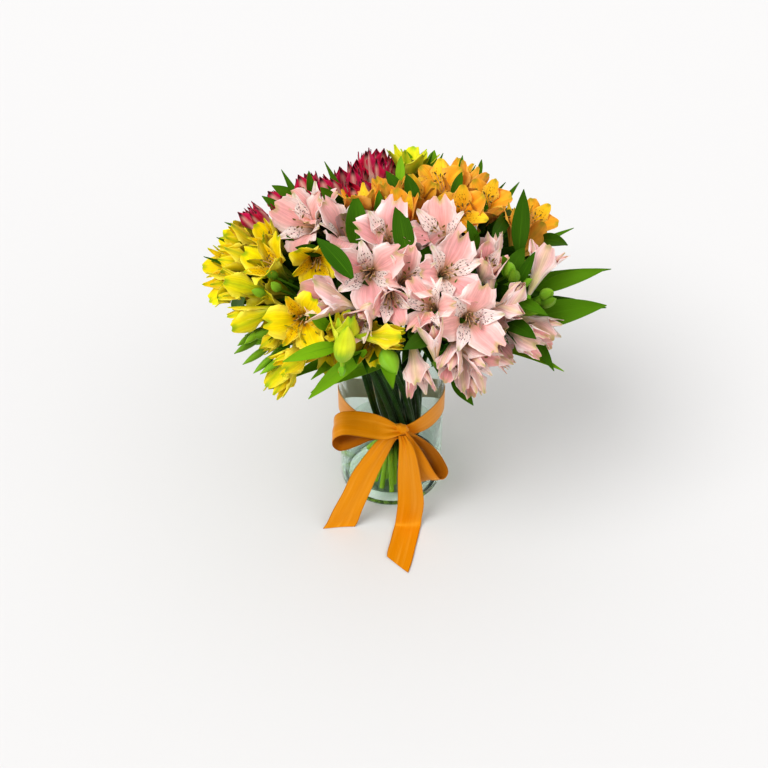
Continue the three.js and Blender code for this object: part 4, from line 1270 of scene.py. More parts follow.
@dataclass(frozen=True)
class ClearFinish:
    """Glass or water, whose reflections gather at its edges, and that casts a pale shadow.

    The body is its own colour, the bend its index of refraction, the shade the colour of the light that it
    lets straight through, and the clearness how much goes straight through where it is seen face on.
    """

    name: str
    body: Colour
    bend: float
    shade: Colour
    clearness: float
    edge: Pair = (0.97, 0.6)

    def material(self) -> Material:
        """The finish as a material."""
        material = dressed(self.name, None, {}, {
            "Base Color": self.body, "Roughness": 0.0, "IOR": self.bend, "Transmission Weight": 1.0,
            "Specular IOR Level": 0.2,
        })
        graph = Graph(material.node_tree)
        thin = graph.node("BsdfTransparent")
        thin.inputs["Color"].default_value = self.shade
        face_on = graph.step(graph.node("LayerWeight").outputs["Facing"], *self.edge)
        shadow = graph.node("LightPath").outputs["Is Shadow Ray"]
        both = graph.node("MixShader")
        graph.put(graph.math("MAXIMUM", graph.product(face_on, self.clearness), shadow), both.inputs[0])
        graph.put(material.node_tree.nodes["Principled BSDF"].outputs[0], both.inputs[1])
        graph.put(thin.outputs[0], both.inputs[2])
        graph.put(both.outputs[0], material.node_tree.nodes["Material Output"].inputs["Surface"])
        return material


@dataclass(frozen=True)
class PlainFinish:
    """A finish of one colour."""

    name: str
    colour: Colour
    roughness: float
    shine: float = 0.5

    def material(self) -> Material:
        """The finish as a material."""
        return dressed(self.name, None, {}, {
            "Base Color": self.colour, "Roughness": self.roughness, "Specular IOR Level": self.shine})


PETALS = {
    "yellow": PetalFinish("yellow petal", "f09a10", "fee50c", "fff580", "d4da26", "86ad22", "f7cb05",
                          "8a3a12", "f6e01e", "9fbe22", dash_share=0.8, keel_share=0.3, vein_share=0.3),
    "pink": PetalFinish("pink petal", "f6dcae", "fbbcb9", "ffefea", "ef98a0", "9aa838", "fdece6",
                        "4a0f1c", "facbc8", "ecd9a4", tip_share=0.55, dash_share=1.0, keel_share=0.25,
                        edge_share=0.8, vein_share=0.4),
    "orange": PetalFinish("orange petal", "f9cc1c", "f9ae34", "fdd27a", "f8d63a", "a8a02c", "fdcb34",
                          "7a2a10", "f7ab40", "e2c24c", dash_share=0.6, keel_share=0.35, vein_share=0.3),
    "lime": PetalFinish("lime petal", "d9dc2a", "e8e12a", "f3f06a", "a9cf2f", "7fb030", "e6de26",
                        "7a5a1a", "d3da2e", "8fbb2c", dash_share=0.5),
    "crimson": PetalFinish("crimson petal", "f6d9c6", "c21648", "dc4a72", "960c34", "220a0c", "ea98a4",
                           "4a0820", "b81240", "f3d3bc", tip_share=1.0, dash_share=0.5, edge_share=0.25,
                           heart_reach=0.18, tip_reach=0.05, keel_share=0.15),
}
GREEN_BUD = GreenFinish("green bud", "3f7f1c", "84b84a", "a6cc3c")
LEAF_BACK = GreenFinish("leaf back", "295109", "517d19", "86b41e", 0.4, roughness=0.55, relief=0.35)
LEAF_FACE = GreenFinish("leaf face", "173703", "3b640a", "7cac0c", relief=0.35)
GREEN_STEM = StemFinish("stem", "356b1c", "84b84a", "a6cc3c")
FILAMENT = PlainFinish("filament", paint("e8c9a0"), 0.5)
ANTHER = PlainFinish("anther", paint("6b5a1e"), 0.8)
SATIN_FACE = SatinFinish("satin face", "e6930a", "9c5a04", "f6b850")
# The back of the satin is duller; its darker, browner colour is partly painted shade where it lies inside the
# loops.
SATIN_BACK_SHADED = SatinFinish("satin back shaded", "b8700e", "7c4504", "d89440", roughness=0.5)
# The band's underside, behind the glass and under the bunch, is painted far paler than the satin: painted
# light.
SATIN_UNDERSIDE_PAINTED_LIGHT = SatinFinish("satin underside painted light", "ffe6c4", "eccfa6", "fff2e0", roughness=0.6)
CLEAR_GLASS = ClearFinish("clear glass", (0.95, 0.99, 0.97, 1), 1.45, (0.945, 0.98, 0.962, 1), 0.975)
THICK_GLASS = ClearFinish("thick glass", (0.95, 0.99, 0.97, 1), 1.45, (0.9, 0.965, 0.93, 1), 0.0)
CLEAR_WATER = ClearFinish("clear water", (0.95, 0.99, 0.96, 1), 1.33, (0.94, 0.98, 0.95, 1), 0.85)
PALE_FLOOR = PlainFinish("pale floor", (0.725, 0.72, 0.72, 1), 0.8, shine=0.0)


def make_finishes() -> Finishes:
    """Every finish of the bouquet, by name.

    Returns:
        Lists of materials in the order of their material index.
    """
    petals = PetalPattern().group()
    leaves = LeafPattern().group()
    weave = SatinPattern().group()
    satin = SATIN_FACE.material(weave)
    return {
        **{colour: finish.materials(petals) for colour, finish in PETALS.items()},
        "green": [GREEN_BUD.material(leaves), FILAMENT.material(), ANTHER.material()],
        "leaf": [LEAF_BACK.material(leaves), LEAF_FACE.material(leaves)],
        "stem": [GREEN_STEM.material(leaves)],
        "satin": [satin, SATIN_BACK_SHADED.material(weave)],
        "band": [satin, SATIN_UNDERSIDE_PAINTED_LIGHT.material(weave)],
        "glass": [CLEAR_GLASS.material(), THICK_GLASS.material()],
        "water": [CLEAR_WATER.material()],
    }


# ---------------------------------------------------------------- flowers

@dataclass(frozen=True)
class TepalCut:
    """The outline of a tepal: shares of its length and width."""

    width: float
    broadest: float
    tip: float
    round_end: float
    notch: float
    frill: float
    ruffle: float
    wrap: float


# The outlines of full, cupped, star-shaped and slim blooms: their outer tepals and their inner ones.
OUTER_CUT = TepalCut(1.28, 0.6, 0.74, 0.12, 0.07, 0.03, 0.32, 0.9)
INNER_CUT = TepalCut(0.98, 0.6, 0.6, 0.18, 0.0, 0.008, 0.1, 0.7)
CUPPED_CUT = TepalCut(1.62, 0.48, 0.68, 0.2, 0.03, 0.018, 0.17, 1.2)
CUPPED_INNER_CUT = TepalCut(1.3, 0.5, 0.4, 0.1, 0.0, 0.006, 0.08, 0.95)
STAR_CUT = TepalCut(1.04, 0.64, 0.8, 0.2, 0.02, 0.01, 0.12, 0.85)
STAR_INNER_CUT = TepalCut(1.3, 0.6, 0.66, 0.17, 0.0, 0.006, 0.08, 0.75)
SLIM_CUT = TepalCut(1.75, 0.3, 0.14, 0.06, 0.0, 0.004, 0.04, 1.25)
SLIM_INNER_CUT = TepalCut(0.9, 0.3, 0.12, 0.06, 0.0, 0.004, 0.03, 0.9)


@dataclass(frozen=True)
class Posture:
    """How far the half-open and the open blooms of one colour stand open: least and most, in degrees."""

    cup: Pair
    flare: Pair


POSTURES = {
    "yellow": Posture((2, 24), (36, 60)), "pink": Posture((4, 30), (58, 84)),
    "orange": Posture((20, 46), (58, 80)), "lime": Posture((2, 24), (28, 48)),
    "crimson": Posture((0, 10), (20, 30)),
}


# Where a head's finishes stand among its materials: its own petals' back and face, then the green of buds and
# stalks, the filaments and the anthers, then the lime petals' back and face.
OWN, GREEN, FILAMENTS, ANTHERS, LIME = 0, 2, 3, 4, 5


@dataclass
class FlowerHead:
    """A hub with its pedicels, blooms and buds."""

    index: int
    bunch: Bunch
    finishes: Finishes
    stamens: Mesh
    cells: tuple[int, int] = (10, 15)
    thickness: float = 0.45
    base_radius: float = 1.5
    base_height: float = 0.4
    inside_shift: float = 0.7
    tilt: float = 15
    pedicel: float = 1.25
    hub: float = 3.1
    sag: Vector = field(default_factory=lambda: Vector((0, 0.22, -0.24)))
    wobble: float = 0.3
    leafy_share: float = 0.45
    leafy_size: float = 0.72
    # How much darker the blooms deep in the bunch are drawn: painted shade.
    shade: float = 2.4
    slim_shift: Pair = (4, -8)
    slim_flare: Pair = (-26, 10)
    low_flare: Pair = (24, 64)
    cupped_below: float = 40
    cupped_play: float = 8
    inner_tuck: float = 5
    cupped_blade: Pair = (0.92, 1.06)
    slim_blade: Pair = (0.9, 1.15)
    full_blade: Pair = (1.0, 1.12)
    full_play: Pair = (9, -9)
    inner_flare: float = 0.9
    wish: float = 0.8
    stray_angle: float = 0.22
    tuck_flare: float = 6
    tuck_blade: float = 0.94
    tuck_width: float = 0.85
    star_blade: float = 0.74
    inner_blade: float = 0.86
    ripples: Pair = (0.06, 0.035)
    notch_width: float = 0.24
    groove: float = 0.35
    groove_width: float = 0.16
    curl: float = 1.3
    throat_room: float = 1.2

    def __post_init__(self) -> None:
        """Finds the spray's own stem and blooms, and turns each bloom the way it stands."""
        self.name = SPRAYS[self.index][0]
        self.colour = self.name.split("_")[0]
        self.stem = self.bunch.stems[self.index]
        self.own = self.bunch.own(self.index)
        self.draw = seeded(100 + self.index)
        self.lower = [bloom for bloom in self.bunch.lower if bloom.spray == self.index]
        self.stances: dict[int, Stance] = {}
        for place, bloom in enumerate(self.own + self.lower):
            around = Vector((self.draw() - 0.5, self.draw() - 0.5, self.draw() - 0.5)).normalized()
            turn = self.tilt * (self.draw() * 2 - 1)
            stance = STANCES.get(self.name, {}).get(place) if place < len(self.own) else None
            if stance:
                bloom.axis = along_bunch(stance.way)
                bloom.mouth = bloom.mouth + along_bunch(stance.shift)
                self.stances[id(bloom)] = stance
                turn *= self.wobble
            elif bloom.kind in (BloomKind.TRUMPET, BloomKind.SLIM):
                bloom.axis = bloom.axis + self.sag
            bloom.axis = (Quaternion(around, radians(turn)) @ bloom.axis).normalized()
            if bloom.kind is BloomKind.SLIM:
                bloom.mouth = bloom.mouth + bloom.axis * blend(*self.slim_shift, self.draw())

    def tepal(self, piece: Piece, form: BloomForm, angle: float, fit: Fit, cut: TepalCut, width: float,
              inner: bool, matrix: Matrix, mark: Vector, finish: int) -> None:
        """Adds one tepal, from the bloom's base through its throat to its tip.

        Args:
            piece: the bloom under construction.
            form: the bloom's sizes.
            angle: where the tepal stands round the axis.
            fit: how far it opens and how large it is.
            cut: its outline.
            width: its width where it is broadest.
            inner: whether it stands inside the others.
            matrix: the bloom's own frame.
            mark: the finish's three numbers.
            finish: the material index of its back.
        """
        throat = hypot(form.throat_height, form.throat_radius)
        knee = throat / (throat + fit.blade)
        slope = tan(radians(form.throat_turn)) * form.throat_height
        outward = Vector((cos(angle), sin(angle), 0))
        side = Vector((-sin(angle), cos(angle), 0))
        phase = self.draw() * 2 * pi
        lean = (self.draw() - 0.5) * 0.5
        broad = width * cut.width * fit.width / 2
        waist = form.throat_radius * cut.wrap
        shift = self.inside_shift if inner else 0
        rows: dict[float, Triple] = {}

        def rib(t: float) -> Triple:
            """Distance from the axis, height and turn at a share of the whole tepal, worked out once."""
            key = round(t, 4)
            if key not in rows:
                if t < knee:
                    q = t / knee
                    out = (self.base_radius * (1 - q) ** 2 * (1 + 2 * q) + 3.2 * q * (1 - q) ** 2
                           + form.throat_radius * q * q * (3 - 2 * q) - slope * q * q * (1 - q))
                    turn = radians(blend(8, form.throat_turn, q))
                    rows[key] = (out, blend(self.base_height, form.throat_height, q), turn)
                else:
                    rows[key] = rib_point(form, fit, (t - knee) / (1 - knee))
            return rows[key]

        def half(t: float) -> float:
            """Half the tepal's width."""
            if t < knee:
                return blend(1.3, waist, smoothstep(-0.1, 1.0, t / knee))
            s = (t - knee) / (1 - knee)
            if s < cut.broadest:
                return blend(waist, broad, smoothstep(0, cut.broadest, s))
            fall = (s - cut.broadest) / (1 - cut.broadest)
            return broad * (1 - (1 - cut.tip) * fall ** 2)

        def place(across: float, along: float) -> Vector:
            """A point of the tepal."""
            v = across * 2 - 1
            late = smoothstep(knee, 1, along)
            t = along - cut.round_end * abs(v) ** 2.4 * late ** 2
            t -= cut.notch * exp(-(v / self.notch_width) ** 2) * late ** 6
            t += cut.frill * (sin(v * 9 + phase) + 0.7 * sin(v * 21 + 2 * phase)) * late ** 3
            t = max(t, 0)
            s = max((t - knee) / (1 - knee), 0)
            out, height, turn = rib(t)
            out -= shift
            slow, quick = self.ripples
            ragged = slow * sin(17 * along + phase) + quick * sin(43 * along + 3 * phase)
            h = half(along) * (1 + late * ragged)
            normal = outward * -cos(turn) + UP * sin(turn)
            wave = cut.ruffle * h * late * (v * v * sin(7 * along + phase + 2 * v)
                                            + 0.5 * abs(v) ** 3 * sin(19 * along + 2 * phase))
            groove = -self.groove * exp(-(v / self.groove_width) ** 2) * late
            flat = (outward * out + UP * height + side * (v * h)
                    + normal * (CUP * h * v * v + wave + groove + lean * v * h * late))
            wrap = 1 - smoothstep(0, 0.5, s)
            if wrap <= 0:
                return matrix @ flat
            reach = max(out, self.throat_room)
            phi = self.curl * tanh(v * h / reach / self.curl)
            curved = (outward * (reach * cos(phi)) + side * (reach * sin(phi)) + UP * height)
            return matrix @ flat.lerp(curved, wrap)

        piece.patch(self.cells, place, mark, finish, self.thickness,
                    GREEN if finish == GREEN else finish + 1)

    def opened(self, kind: BloomKind, inner: bool, room: Fit, flare: float, bloom_draw_and_shade: float) -> Fit:
        """How far one tepal opens and how long it is.

        Args:
            kind: the bloom's kind.
            inner: whether the tepal stands inside the others.
            room: what the bloom's neighbours leave it.
            flare: how far the whole bloom opens, in degrees.
            bloom_draw_and_shade: the bloom's own draw.

        Returns:
            The tepal's opening and size.
        """
        if kind is BloomKind.SLIM:
            return Fit(flare, room.blade * blend(*self.slim_blade, bloom_draw_and_shade), 1)
        blade = FORMS[kind].blade
        if kind is BloomKind.TRUMPET:
            flare += self.cupped_play * self.draw() - (self.inner_tuck if inner else 0)
            return Fit(flare, blade * blend(*self.cupped_blade, self.draw()), 1)
        wanted = flare * (self.inner_flare if inner else 1)
        flare = blend(room.flare, wanted, self.wish) + blend(*self.full_play, self.draw())
        blade *= self.star_blade if self.colour == "orange" else self.inner_blade if inner else 1
        return Fit(flare, blade * blend(*self.full_blade, self.draw()), 1)

    def cut(self, kind: BloomKind, inner: bool, cupped: bool) -> TepalCut:
        """The outline of a bloom's outer or inner tepals."""
        if kind is BloomKind.SLIM:
            return SLIM_CUT
        if cupped:
            return CUPPED_INNER_CUT if inner else CUPPED_CUT
        if self.colour == "orange":
            return STAR_INNER_CUT if inner else STAR_CUT
        return INNER_CUT if inner else OUTER_CUT

    def bloom(self, bloom: Bloom) -> Piece:
        """One bloom with its six tepals and its stamens."""
        piece = Piece()
        form = FORMS[bloom.kind]
        stance = self.stances.get(id(bloom))
        bloom_draw_and_shade = self.draw()
        low = bloom in self.lower
        leafy = low and self.draw() < self.leafy_share
        matrix = bloom.matrix(stance.size if stance else self.leafy_size if leafy else 1)
        planes = self.bunch.planes(bloom)
        finish = GREEN if leafy else LIME if stance and stance.lime else OWN
        # Painted shade: the blooms deep in the bunch are drawn darker.
        if low:
            bloom_draw_and_shade -= self.shade
        slim = bloom.kind is BloomKind.SLIM
        posture = POSTURES[self.colour]
        flare = {
            BloomKind.TRUMPET: blend(*posture.cup, self.draw()),
            BloomKind.OPEN: blend(*posture.flare, self.draw()),
            BloomKind.SLIM: blend(*self.slim_flare, self.draw()),
        }[bloom.kind]
        cupped = bloom.kind is BloomKind.TRUMPET
        if stance or low:
            flare = stance.flare if stance else blend(*self.low_flare, self.draw())
            cupped = flare < self.cupped_below
        for k in range(form.tepals):
            inner = is_inner(form, k)
            fit = self.opened(bloom.kind, inner, self.bunch.fit(form, k, matrix, planes), flare, bloom_draw_and_shade)
            angle = 2 * pi * k / form.tepals + self.stray_angle * (self.draw() - 0.5)
            cut = self.cut(bloom.kind, inner, cupped)
            width = form.inner_width if inner else form.outer_width
            mark = Vector((0 if leafy else float(inner), self.draw(), bloom_draw_and_shade))
            self.tepal(piece, form, angle, fit, cut, width, inner, matrix, mark, finish)
            if slim:
                mark = Vector((1.0, self.draw(), bloom_draw_and_shade))
                tucked = Fit(fit.flare - self.tuck_flare, fit.blade * self.tuck_blade, self.tuck_width)
                self.tepal(piece, form, angle + pi / form.tepals, tucked, SLIM_INNER_CUT, width,
                           True, matrix, mark, finish)
        if not slim and not leafy:
            piece.take(self.stamens, matrix)
        return piece

    def bud(self, bloom: Bloom) -> Piece:
        """A closed bud: three tepals' keels round a spindle."""
        piece = Piece()
        matrix = bloom.matrix()

        def path(share: float) -> Vector:
            """The bud's axis."""
            return matrix @ Vector((0, 0, BUD_LENGTH * share))

        def radius(around: float, along: float) -> float:
            """The bud's swelling, with three keels."""
            swell = sin(pi * min(along * 0.98 + 0.02, 1) ** 0.75) ** 0.8
            return BUD_RADIUS * max(swell, 0.12) * (1 + 0.07 * cos(6 * pi * around))

        piece.tube((15, 12), path, radius, Vector((0.45, self.draw(), 0)), GREEN)
        return piece

    def stalks(self) -> Piece:
        """The hub, the pedicels and the green ovaries under the blooms."""
        piece = Piece()
        heading = self.stem.heading()
        base = self.stem.hub + heading * GAP
        top = base + heading * STEM.hub_height
        heart = base.lerp(top, STEM.hub_heart)
        piece.tube((12, 6), lambda share: base.lerp(top, share),
                   lambda around, along: self.hub * (0.86 + 0.14 * sin(pi * along)),
                   Vector((0.2, 0.5, 0)), GREEN)
        for bloom in self.own:
            bud = bloom.kind is BloomKind.BUD
            end = bloom.base() + bloom.axis * (1.5 if bud else -5)
            bow = heart.lerp(end, 0.55) - bloom.axis * 1.5 + heading * 3

            def path(share: float, end: Vector = end, bow: Vector = bow) -> Vector:
                """The pedicel's middle line."""
                return heart.lerp(bow, share).lerp(bow.lerp(end, share), share)

            piece.tube((6, 8), path, lambda around, along: self.pedicel,
                       Vector((0.35, self.draw(), 0)), GREEN)
            if not bud:
                self.ovary(piece, bloom)
        return piece

    def ovary(self, piece: Piece, bloom: Bloom) -> None:
        """The ribbed green ovary under a bloom."""
        matrix = bloom.matrix()
        piece.tube((12, 6), lambda share: matrix @ Vector((0, 0, blend(-7, 1.6, share))),
                   lambda around, along: (1.3 + 1.7 * sin(pi * along ** 1.3))
                   * (1 + 0.08 * cos(12 * pi * around)),
                   Vector((0.3, self.draw(), 0)), GREEN)

    def build(self) -> Object:
        """Builds the head and hides the plain solid that it stands for."""
        piece = Piece()
        for bloom in self.own + self.lower:
            piece.take(self.bud(bloom) if bloom.kind is BloomKind.BUD else self.bloom(bloom))
        piece.take(self.stalks())
        materials = self.finishes[self.colour] + self.finishes["green"]
        if any(stance.lime for stance in self.stances.values()):
            materials += self.finishes["lime"]
        head = piece.finish(f"flowers_{self.name}", materials, f"petal_{self.colour}")
        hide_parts(f"head_{self.name}")
        return head


def stamen_mesh() -> Mesh:
    """Six curved filaments with their anthers, for one bloom in its own frame.

    Returns:
        The mesh, in millimetres.
    """
    piece = Piece()
    draw = seeded(31)
    for k in range(6):
        angle = 2 * pi * (k + 0.3 * draw()) / 6
        outward = Vector((cos(angle), sin(angle), 0))
        length = 27 + 6 * draw()
        spread = 2.2 + 2.4 * draw()
        sag = Vector((3.0, 0, 0))

        def path(share: float, outward: Vector = outward, length: float = length,
                 spread: float = spread) -> Vector:
            """The filament's middle line, swung to one side."""
            return (outward * (0.8 + spread * share ** 1.6) + UP * (3 + length * share)
                    + sag * sin(pi * share))

        tip = path(1.0)
        piece.tube((5, 7), path, lambda around, along: 0.38, Vector(), FILAMENTS)
        turn = (outward + UP * 0.4).normalized()
        piece.tube((7, 5), lambda share, tip=tip, turn=turn: tip + turn * (3.4 * share - 1.4),
                   lambda around, along: 0.2 + 0.6 * sin(pi * along), Vector(), ANTHERS)
    return piece.mesh("stamens")


# ---------------------------------------------------------------- stems and leaves

@dataclass
class LeafyStem:
    """A stem with its large leaves and the whorl of small ones under its flower head."""

    index: int
    bunch: Bunch
    finishes: Finishes
    facing: Vector = field(default_factory=lambda: Vector((0, -0.55, 0.83)).normalized())
    petiole: float = 2.6
    arch: float = 0.16
    bend: float = 0.45
    broadest: float = 0.42
    cells: tuple[int, int] = (6, 14)
    thickness: float = 0.5
    front_lime: Pair = (0.55, 0.85)
    most_lime: float = 0.25
    whorl: int = 10
    whorl_width: Pair = (11, 17)
    straight: float = 0.22

    def __post_init__(self) -> None:
        """Finds the spray's own stem."""
        self.name = SPRAYS[self.index][0]
        self.stem = self.bunch.stems[self.index]
        self.draw = seeded(500 + self.index)

    def route(self, share: float) -> Vector:
        """The stem's middle line: straight to the waist, then along the lead."""
        if share < self.straight:
            return self.stem.foot.lerp(self.stem.waist, share / self.straight)
        return self.stem.lead((share - self.straight) / (1 - self.straight))

    def leaf(self, piece: Piece, root: Vector, tip: Vector, width: float, lime: float,
             facing: Vector) -> None:
        """Adds a lanceolate leaf, folded a little along its rib and waved at its edges.

        Args:
            piece: the leaves under construction.
            root: where it leaves the stem.
            tip: its tip.
            width: its width where it is broadest.
            lime: how light its green is, from 0 to 1.
            facing: which way its upper face looks.
        """
        length = (tip - root).length
        knee = root.lerp(tip, self.bend) + UP * (self.arch * length)
        phase = self.draw() * 2 * pi
        twist = (self.draw() - 0.5) * 0.7
        wave = 0.05 + 0.07 * self.draw()
        rows: dict[float, Vectors] = {}

        def rib(along: float) -> Vectors:
            """The rib's point, the leaf's side and its normal there, worked out once."""
            key = round(along, 4)
            if key not in rows:
                point = root.lerp(knee, along).lerp(knee.lerp(tip, along), along)
                heading = ((knee - root).lerp(tip - knee, along)).normalized()
                side = facing.cross(heading).normalized()
                side = Quaternion(heading, twist * sin(pi * along)) @ side
                rows[key] = (point, side, heading.cross(side))
            return rows[key]

        def place(across: float, along: float) -> Vector:
            """A point of the leaf."""
            v = 1 - across * 2
            point, side, normal = rib(along)
            rise = min(along / self.broadest, 1)
            fall = max(along - self.broadest, 0) / (1 - self.broadest)
            full = (rise * (2 - rise)) ** 0.8 * (1 - fall ** 1.8)
            half = max(width / 2 * full, self.petiole / 2 * (1 - along) ** 3, 0.15)
            lift = CUP * half * v * v + wave * half * abs(v) * sin(9 * along + phase + v)
            return point + side * (v * half) + normal * lift

        piece.patch(self.cells, place, Vector((lime, self.draw(), 0)), 0, self.thickness, 1)

    def whorl_leaves(self, piece: Piece) -> None:
        """Adds the small leaves that stand round the hub, between and behind the blooms."""
        heading = self.stem.heading()
        outward = (self.stem.hub - FOCUS).normalized()
        axis = (heading + outward * 2).normalized()
        first = axis.orthogonal().normalized()
        for k in range(self.whorl):
            turn = Quaternion(axis, 2 * pi * (k + 0.6 * self.draw()) / self.whorl * 2)
            spread = turn @ first
            high = k % 2
            reach = 50 + 22 * self.draw() if high else 38 + 16 * self.draw()
            wide = 0.3 + 0.25 * self.draw() if high else 0.75 + 0.3 * self.draw()
            root = self.stem.hub - heading * (2 + 6 * (1 - high)) + spread * 2
            tip = self.stem.hub + axis * (reach * 0.8) + spread * (reach * wide)
            inside = over(tip - HEAD, DOME)
            if inside.length > 0.98:
                tip = HEAD + times(inside.normalized(), DOME) * 0.98
            width = blend(*self.whorl_width, self.draw())
            self.leaf(piece, root, tip, width, 0.12 * self.draw(), axis - spread * 0.6)

    def build(self) -> list[Object]:
        """Builds the stem and its leaves, and hides the plain solid that they stand for."""
        stalk = Piece()
        stalk.tube((12, 40), self.route,
                   lambda around, along: STEM.radius * (1 - 0.12 * along)
                   * (1 + 0.03 * cos(10 * pi * around)), Vector((0, self.draw(), 0)))
        stem = stalk.finish(f"stalk_{self.name}", self.finishes["stem"], "leaf_green")
        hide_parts(f"stem_{self.name}")
        foliage = Piece()
        for at, azimuth, elevation, reach, width in LEAVES.get(self.name, ()):
            low_front = elevation < -5 and abs(azimuth) < 60
            lime = blend(*self.front_lime, self.draw()) if low_front else self.most_lime * self.draw()
            self.leaf(foliage, self.stem.lead(at), dome_point(azimuth, elevation, reach), width, lime,
                      self.facing)
        self.whorl_leaves(foliage)
        leaves = foliage.finish(f"leaves_{self.name}", self.finishes["leaf"], "leaf_green")
        return [stem, leaves]


@dataclass
class Strays:
    """The leaves and buds that stand out from between the blooms."""

    bunch: Bunch
    finishes: Finishes
    facing: Vector = field(default_factory=lambda: Vector((0.1, -0.75, 0.6)).normalized())
    stalk: float = 1.2
    proud: float = 1.07

    def leaves(self) -> Object:
        """The leaves, all in one piece."""
        piece = Piece()
        grower = LeafyStem(0, self.bunch, self.finishes, arch=0.08)
        for root, (azimuth, elevation, reach), width, lime in STRAY_LEAVES:
            tip = dome_point(azimuth, elevation, reach if reach < 1 else max(reach, self.proud))
            grower.leaf(piece, dome_point(*root), tip, width, lime, self.facing)
        return piece.finish("leaves_between", self.finishes["leaf"], "leaf_green")

    def bud(self, index: int, root: Vector, tip: Vector, radius: float, colour: str) -> Object:
        """One bud on its own short stalk.

        Args:
            index: its number among the buds.
            root: the bud's base.
            tip: its tip.
            radius: its radius where it is thickest.
            colour: which colour its tepals show.

        Returns:
            The object.
        """
        piece = Piece()
        draw = seeded(300 + index)
        heart = FOCUS.lerp(root, 0.6)
        piece.tube((6, 6), lambda share: heart.lerp(root, share), lambda around, along: self.stalk,
                   Vector((0.3, draw(), 0)), 0)
        kind = 0 if colour == "green" else 1
        piece.tube((18, 14), lambda share: root.lerp(tip, share),
                   lambda around, along: radius * (1 + 0.06 * cos(6 * pi * around))
                   * max(sin(pi * min(along + 0.02, 1) ** 0.8) ** 0.7, 0.1),
                   Vector((0.5, draw(), draw())), kind)
        finish = [self.finishes["green"][0]]
        if kind:
            finish.append(self.finishes[colour][0])
        slot = "leaf_green" if colour == "green" else f"petal_{colour}"
        return piece.finish(f"bud_{index}_{colour}", finish, slot)

    def build(self) -> list[Object]:
        """Builds the leaves and the buds."""
        buds = [self.bud(index, dome_point(*root), dome_point(*tip), radius, colour)
                for index, (root, tip, radius, colour) in enumerate(STRAY_BUDS)]
        return [self.leaves(), *buds]


# ---------------------------------------------------------------- glass and water

@dataclass
class GlassVase:
    """The cylinder vase and the water in it."""

    steps: int = 96

    def turned(self, profile: Sequence[Pair], bevel: Sequence[int] = ()) -> Piece:
        """A closed body turned about the vertical axis.

        Args:
            profile: its (radius, height) points, from the axis back to the axis.
            bevel: which of the profile's corners are rounded.

        Returns:
            The piece.
        """
        piece = Piece()
        bm = piece.bm
        verts = [bm.verts.new((radius, 0, height)) for radius, height in profile]
        edges = [bm.edges.new(pair) for pair in zip(verts, verts[1:])]
        if bevel:
            bmesh.ops.bevel(bm, geom=[verts[i] for i in bevel], offset=0.9, segments=3, profile=0.5,
                            affect="VERTICES", material=-1)
            edges = list(bm.edges)
        bmesh.ops.spin(bm, geom=edges + list(bm.verts), cent=(0, 0, 0), axis=(0, 0, 1),
                       angle=2 * pi, steps=self.steps, use_merge=True)
        bmesh.ops.remove_doubles(bm, verts=bm.verts, dist=WELD)
        bmesh.ops.recalc_face_normals(bm, faces=bm.faces)
        return piece

    def build(self, finishes: Finishes) -> list[Object]:
        """Builds the glass and the water, and hides the plain solids that they stand for."""
        inner = VASE.radius - VASE.wall
        low, high = 9, VASE.height - 3
        body = self.turned([
            (0, 0.6), (VASE.foot - 6, 0.6), (VASE.foot - 4, 0), (VASE.foot, 0),
            (VASE.radius, VASE.bevel * 2), (VASE.radius, low), (VASE.radius, high),
            (VASE.radius, VASE.height), (inner, VASE.height),
            (inner, high), (inner, VASE.bottom + 10), (inner, VASE.bottom + 6),
            (inner - 6, VASE.bottom), (inner - 10, VASE.bottom), (0, VASE.bottom),
        ], bevel=(4, 7, 8, 11, 12))
        for face in body.bm.faces:
            face.material_index = int(face.calc_center_median().z < low)
        glass = body.finish("vase_glass", finishes["glass"], "vase_glass", crease=40)
        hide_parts("vase")
        wet = inner + 0.15
        water = self.turned([
            (0, VASE.bottom - 0.15), (inner - 10, VASE.bottom - 0.15), (inner - 6, VASE.bottom - 0.15),
            (wet, VASE.bottom + 6), (wet, VASE.bottom + 10), (wet, VASE.water - 1),
            (wet, VASE.water + 1.2), (wet - 0.8, VASE.water + 0.4), (wet - 2.5, VASE.water),
            (wet - 5, VASE.water), (0, VASE.water),
        ]).finish("vase_water", finishes["water"], "water", crease=40)
        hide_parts("water")
        return [glass, water]


# ---------------------------------------------------------------- ribbon

Section = tuple[Triple, Triple, float]

LEFT_LOOP: tuple[Section, ...] = (
    ((8, -56, 110.5), (0, 0.6, 0.8), 7), ((-5, -57.8, 112.5), (0, 0.8, 0.6), 14),
    ((-18, -57.8, 114.5), (0, 0.92, 0.39), 20), ((-30, -55.5, 106.5), (0, 0.95, 0.3), 23),
    ((-40, -54.5, 101), (0, 0.95, 0.3), 24), ((-48, -54, 99.5), (0, 0.95, 0.3), 25),
    ((-53.3, -54, 105.5), (0, 0.95, 0.3), 25), ((-52.5, -54.5, 114), (0, 0.95, 0.3), 25),
    ((-47, -55, 119.5), (0, 0.96, 0.28), 25), ((-40, -56, 121.5), (0, 0.96, 0.28), 25),
    ((-30, -56.5, 121), (0, 0.93, 0.37), 25), ((-18, -59, 120.8), (0, 0.87, 0.5), 24),
    ((-6, -59.7, 118), (0, 0.7, 0.71), 20), ((3, -58.5, 115), (0, 0.65, 0.76), 12),
    ((9, -57, 113), (0, 0.6, 0.8), 7),
)
RIGHT_ACROSS = (0.8, -0.3, 0.52)
